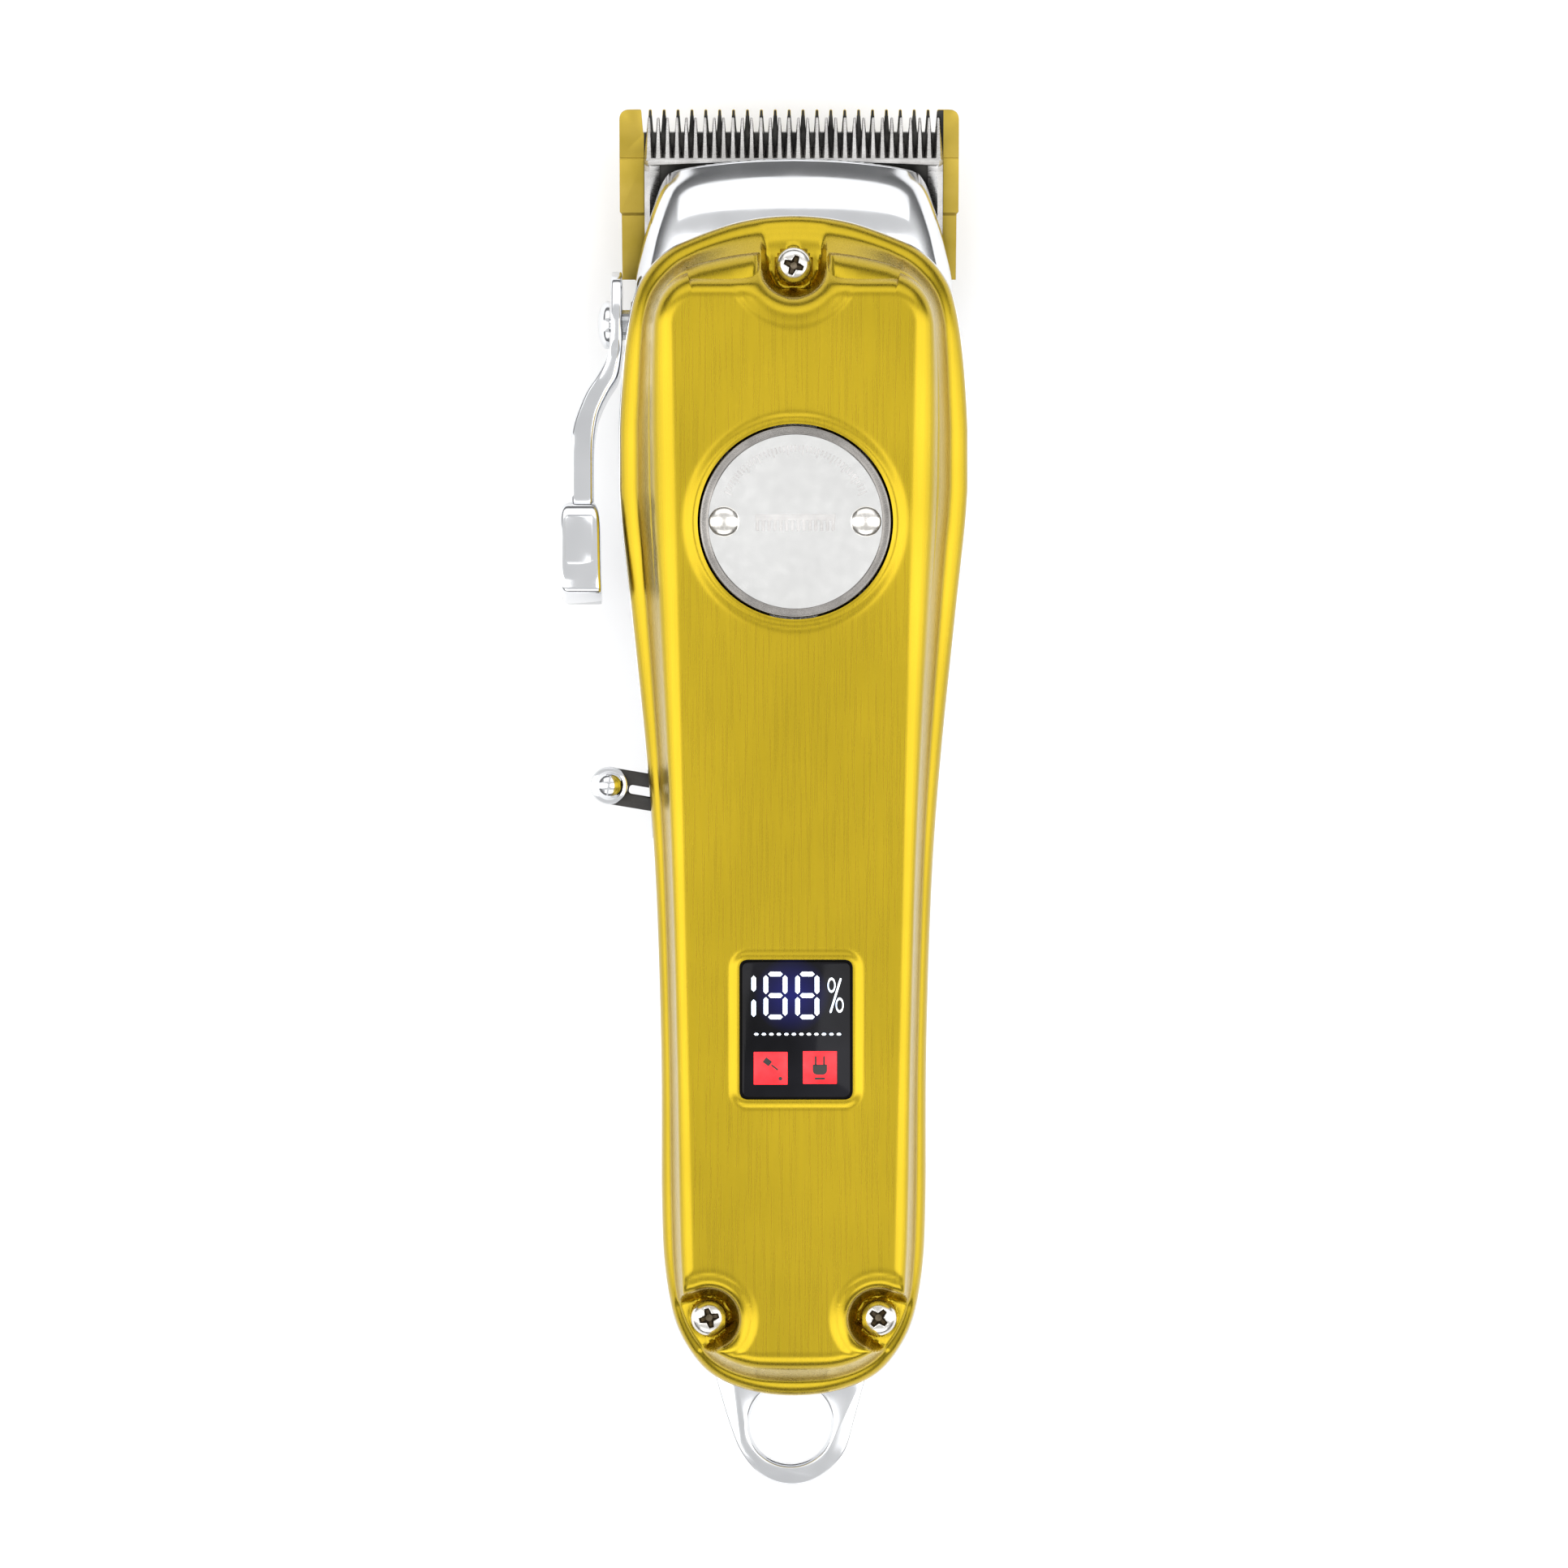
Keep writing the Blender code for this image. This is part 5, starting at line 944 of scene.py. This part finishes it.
def display():
    place = top_place(*DISPLAY)
    glass = prism("lens_glass", rectangle(7.1, 8.85, 1.0), -2.2, 0.04, GLASS)
    bevel(glass, 0.12, 3, 50)
    skirt = prism("lens_skirt", rectangle(8.2, 9.9, 1.4), -2.3, -1.5, GLASS)
    combine(glass, "UNION", [skirt])
    glass.data.transform(place)
    piece(glass, "housing", "display_glass", "display_lens", angle=40)

    def at(x, y):
        return x - DISPLAY[0], y - DISPLAY[1]

    white, half, top = [], 0.30, 0.055
    for i, (y0, y1) in enumerate(((-23.5, -25.6), (-26.6, -28.9))):
        white.append(stroke(f"one_{i}", *at(-5.24, y0), *at(-5.24, y1), half, top, GLOW_WHITE))
    for left, right in ((-3.95, -0.84), (0.19, 3.32)):
        a, b = left + half, right - half
        for y in (-23.3, -26.1, -28.9):
            white.append(stroke(f"level_{left}_{y}", *at(a + half, y), *at(b - half, y), half, top,
                                GLOW_WHITE))
        for x in (a, b):
            for y0, y1 in ((-23.45, -25.9), (-26.3, -28.75)):
                white.append(stroke(f"upright_{x}_{y0}", *at(x, y0), *at(x, y1), half, top, GLOW_WHITE))
    white.append(stroke("slash", *at(6.15, -23.8), *at(4.75, -28.4), 0.13, top, GLOW_WHITE))
    for x, y in ((4.92, -24.75), (5.98, -27.35)):
        oval = [(0.36, -0.3), (0.52, -0.3), (0.52, top), (0.36, top)]
        white.append(turned(f"oval_{x}", oval, GLOW_WHITE,
                            shift(*at(x, y)) @ Matrix.Diagonal((1, 1.9, 1, 1)), 28, True))
    for i in range(12):
        x = -5.2 + i * 0.98
        white.append(stroke(f"dash_{i}", *at(x, -31.15), *at(x + 0.62, -31.15), 0.16, top, GLOW_WHITE))
    lights = joined("display_segments", white)
    lights.data.transform(place)
    piece(lights, "housing", "display_glass", angle=30)

    red = [block(f"red_{x0}", (*at(x0, y0), -0.3), (*at(x1, y1), 0.06))
           for x0, y0, x1, y1 in ((-5.3, -37.8, -0.75, -33.4), (1.12, -37.7, 5.68, -33.3))]
    squares = joined("display_indicators", red)
    paint(squares, (GLOW_RED,), lambda at: 0)
    bevel(squares, 0.12, 2, 60)
    squares.data.transform(place)
    piece(squares, "housing", "display_glass", angle=30)

    black = []
    tilt = shift(*at(-3.45, -34.75)) @ Matrix.Rotation(math.radians(-38), 4, "Z")
    black.append(block("oil_can", (-0.5, -0.4, -0.3), (0.5, 0.4, 0.085), tilt))
    black.append(block("oil_spout", (0.65, -0.12, -0.3), (1.75, 0.12, 0.085), tilt))
    black.append(turned("oil_drop", ((0.26, -0.3), (0.26, 0.085)), BLACK, shift(*at(-1.75, -36.95)), 24))
    for x in (2.85, 3.95):
        black.append(block(f"prong_{x}", (*at(x - 0.13, -35.2), -0.3), (*at(x + 0.13, -34.0), 0.085)))
    low_x, low_y = at(3.4, -35.7)
    body = rounded([(low_x - 0.95, low_y - 0.75), (low_x + 0.95, low_y - 0.75), (low_x + 0.95, low_y + 0.6),
                    (low_x - 0.95, low_y + 0.6)], [0.7, 0.7, 0.1, 0.1], 6)
    black.append(prism("plug_body", body, -0.3, 0.085, BLACK))
    black.append(block("plug_base", (*at(2.7, -37.1), -0.3), (*at(4.1, -36.8), 0.085)))
    icons = joined("display_icons", black)
    paint(icons, (BLACK,), lambda at: 0)
    icons.data.transform(place)
    piece(icons, "housing", "display_glass", angle=30)


display()

# ---------------------------------------------------------------- hanging loop


def hanging_loop():
    """A tapered ring on a neck with an ear at each rear cover screw."""
    ring = catmull(((-10.6, -74.0), (-10.3, -76.3), (-9.45, -79.5), (-8.4, -82.9), (-7.1, -86.2),
                    (-5.15, -88.8), (-2.7, -90.35), (0.0, -90.8), (2.6, -90.2), (4.9, -88.6),
                    (6.8, -86.2), (7.9, -82.5), (8.9, -78.8), (9.6, -76.0), (9.8, -74.0)), 6)
    ear = [(9.8, -72.6), (12.0, -70.2), (13.25, -68.5), (12.7, -66.6)]
    points = [tuple(p) for p in ring] + ear + [(-x, y) for x, y in reversed(ear[1:])] + [(-10.6, -72.6)]
    top, low = loop_high.z - 0.05, loop_low.z + 0.05
    loop = prism("chrome_loop", points, low, top, CHROME)
    cutters = [turned("loop_bore", ((5.75, top + 1), (5.75, top), (5.45, top - 0.6), (5.35, top - 1.0),
                                    (5.35, low + 1.0), (5.45, low + 0.6), (5.75, low), (5.75, low - 1)),
                      CHROME, shift(-0.45, -82.8), 96)]
    for name in ("left_rear_cover_screw", "right_rear_cover_screw"):
        x, y, _ = SCREWS[name]
        cutters.append(turned(f"{name}_clear", ((1.5, 0), (1.5, 40)), CHROME, shift(x, y), 32))
    combine(loop, "DIFFERENCE", cutters)
    bevel(loop, 0.55, 4, 55)
    return piece(loop, "housing", "chrome", "hanging_loop", angle=50)


hanging_loop()

# ---------------------------------------------------------------- lever screw, switch, socket

dome("lever_screw_dome", 3.2, 1.55, 1.05, 2.7, CHROME,
     shift(box("lever_screw")[0].x + 1.6, *LEVER) @ ALONG_X.inverted(), "lever_screw", "lever", "chrome")


def switch():
    """A black slotted arm with a turned knob: a ball on a disc."""
    pin_low, pin_high = box("switch_pin")
    pivot = shift((pin_low.x + pin_high.x) / 2, (pin_low.y + pin_high.y) / 2)
    place = pivot @ Matrix.Rotation(math.radians(180 - 9.5), 4, "Z")
    reach, half = 14.5, 2.42
    low, high = arm_low.z + 0.02, arm_high.z - 0.02
    points = []
    for centre, start in ((reach, -90), (0.0, 90)):
        for angle in np.radians(np.linspace(start, start + 180, 25)):
            points.append((centre + half * math.cos(angle), half * math.sin(angle)))
    arm = prism("slotted_arm", points, low, high, BLACK)
    slot = rounded([(4.6, -0.58), (11.9, -0.58), (11.9, 0.58), (4.6, 0.58)], 0.5, 6)
    cutters = [prism("slot", slot, 0, 40, BLACK),
               turned("eye", ((1.0, 0), (1.0, 40)), BLACK, None, 32),
               turned("knob_seat", ((1.15, 0), (1.15, 40)), BLACK, shift(reach, 0), 32)]
    combine(arm, "DIFFERENCE", cutters)
    bevel(arm, 0.22, 3, 50)
    arm.data.transform(place)
    piece(arm, "switch", "black_plastic", "switch_arm", angle=50)
    seat = high + 0.05
    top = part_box("switch_knob")[1].z / MM
    ball = 1.9
    profile = [(1.0, low + 0.2), (1.0, seat), (2.3, seat), (2.46, seat + 0.12), (2.48, seat + 0.34),
               (2.36, seat + 0.56), (2.05, seat + 0.66), (1.35, seat + 0.74), (1.28, seat + 0.95)]
    centre = top - ball
    start = math.asin((seat + 1.05 - centre) / ball)
    for angle in np.linspace(start, math.radians(88), 14):
        profile.append((ball * math.cos(angle), centre + ball * math.sin(angle)))
    knob = turned("chrome_knob", profile, CHROME, None, 72)
    cut_line = block("knob_slot", (-0.11, -3, top - 0.55), (0.11, 3, top + 1))
    combine(knob, "DIFFERENCE", [cut_line])
    knob.data.transform(place @ shift(reach, 0))
    piece(knob, "switch", "chrome", "switch_knob", angle=40)


switch()


def socket():
    """A round jack: a flanged barrel with a split centre pin."""
    place = shift(0, socket_low.y, (socket_low.z + socket_high.z) / 2) @ ALONG_Y
    profile = [(2.75, 0.35), (2.95, 0.1), (3.15, 0.02), (3.8, 0.02), (3.95, 0.15), (3.95, 11.9),
               (0.8, 11.9), (0.6, 11.8), (0.1, 11.7), (0.1, 1.0), (0.55, 1.05), (0.8, 1.4), (0.8, 9.0),
               (2.75, 9.0)]
    barrel = turned("jack_barrel", profile, BLACK, place, 72, True)
    paint(barrel, (BLACK, ZINC), lambda at: math.hypot(at.x, at.y) < 0.95, place)
    piece(barrel, "housing", "black_plastic", "charging_socket", angle=40)


socket()

# ---------------------------------------------------------------- stage, lights, camera


def area(name, place, size, power, target=(0.0, 0.0, 0.02)):
    lamp = bpy.data.lights.new(name, "AREA")
    lamp.shape = "RECTANGLE"
    lamp.size, lamp.size_y = size
    lamp.energy = power
    obj = bpy.data.objects.new(name, lamp)
    bpy.context.scene.collection.objects.link(obj)
    obj.location = place
    obj.rotation_euler = (Vector(target) - Vector(place)).to_track_quat("-Z", "Y").to_euler()
    return obj


def floor():
    steps = np.linspace(0, 2 * math.pi, 97)[:-1]
    rings = [np.stack([r * np.cos(steps), r * np.sin(steps), np.full(96, z)], 1)
             for r, z in ((4000.0, -20.0), (4000.0, 0.0), (2000.0, 0.0), (1000.0, 0.0))]
    obj = loft("floor", rings, FLOOR)
    return obj


floor()
area("left_softbox", (-0.75, 0.0, 0.55), (0.6, 2.0), 7.5)
area("right_softbox", (0.75, 0.0, 0.55), (0.6, 2.0), 7.5)
area("head_softbox", (0.0, 0.95, 0.75), (1.9, 0.8), 5.0)
area("tail_softbox", (0.0, -0.95, 0.75), (1.4, 0.6), 4.5)
world = bpy.data.worlds.new("studio")
world.use_nodes = True
sky = world.node_tree
direction = sky.nodes.new("ShaderNodeTexCoord")
height = sky.nodes.new("ShaderNodeSeparateXYZ")
shade = sky.nodes.new("ShaderNodeValToRGB")
for place, grey in ((0.30, 0.30), (0.62, 0.82)):
    shade.color_ramp.elements.new(place).color = (grey, grey, grey, 1.0)
for index, grey in ((0, 0.10), (-1, 0.80)):
    shade.color_ramp.elements[index].color = (grey, grey, grey, 1.0)
sky.links.new(direction.outputs["Generated"], height.inputs["Vector"])
sky.links.new(height.outputs["Z"], shade.inputs["Fac"])
sky.links.new(shade.outputs["Color"], sky.nodes["Background"].inputs["Color"])
bpy.context.scene.world = world

lens = bpy.data.cameras.new("photo_camera")
lens.lens = 209.2
lens.sensor_width = 36.0
camera = bpy.data.objects.new("photo_camera", lens)
bpy.context.scene.collection.objects.link(camera)
camera.location = (-0.00128, 0.0015, 1.224)
bpy.context.scene.camera = camera
bpy.context.scene.view_settings.view_transform = "Standard"
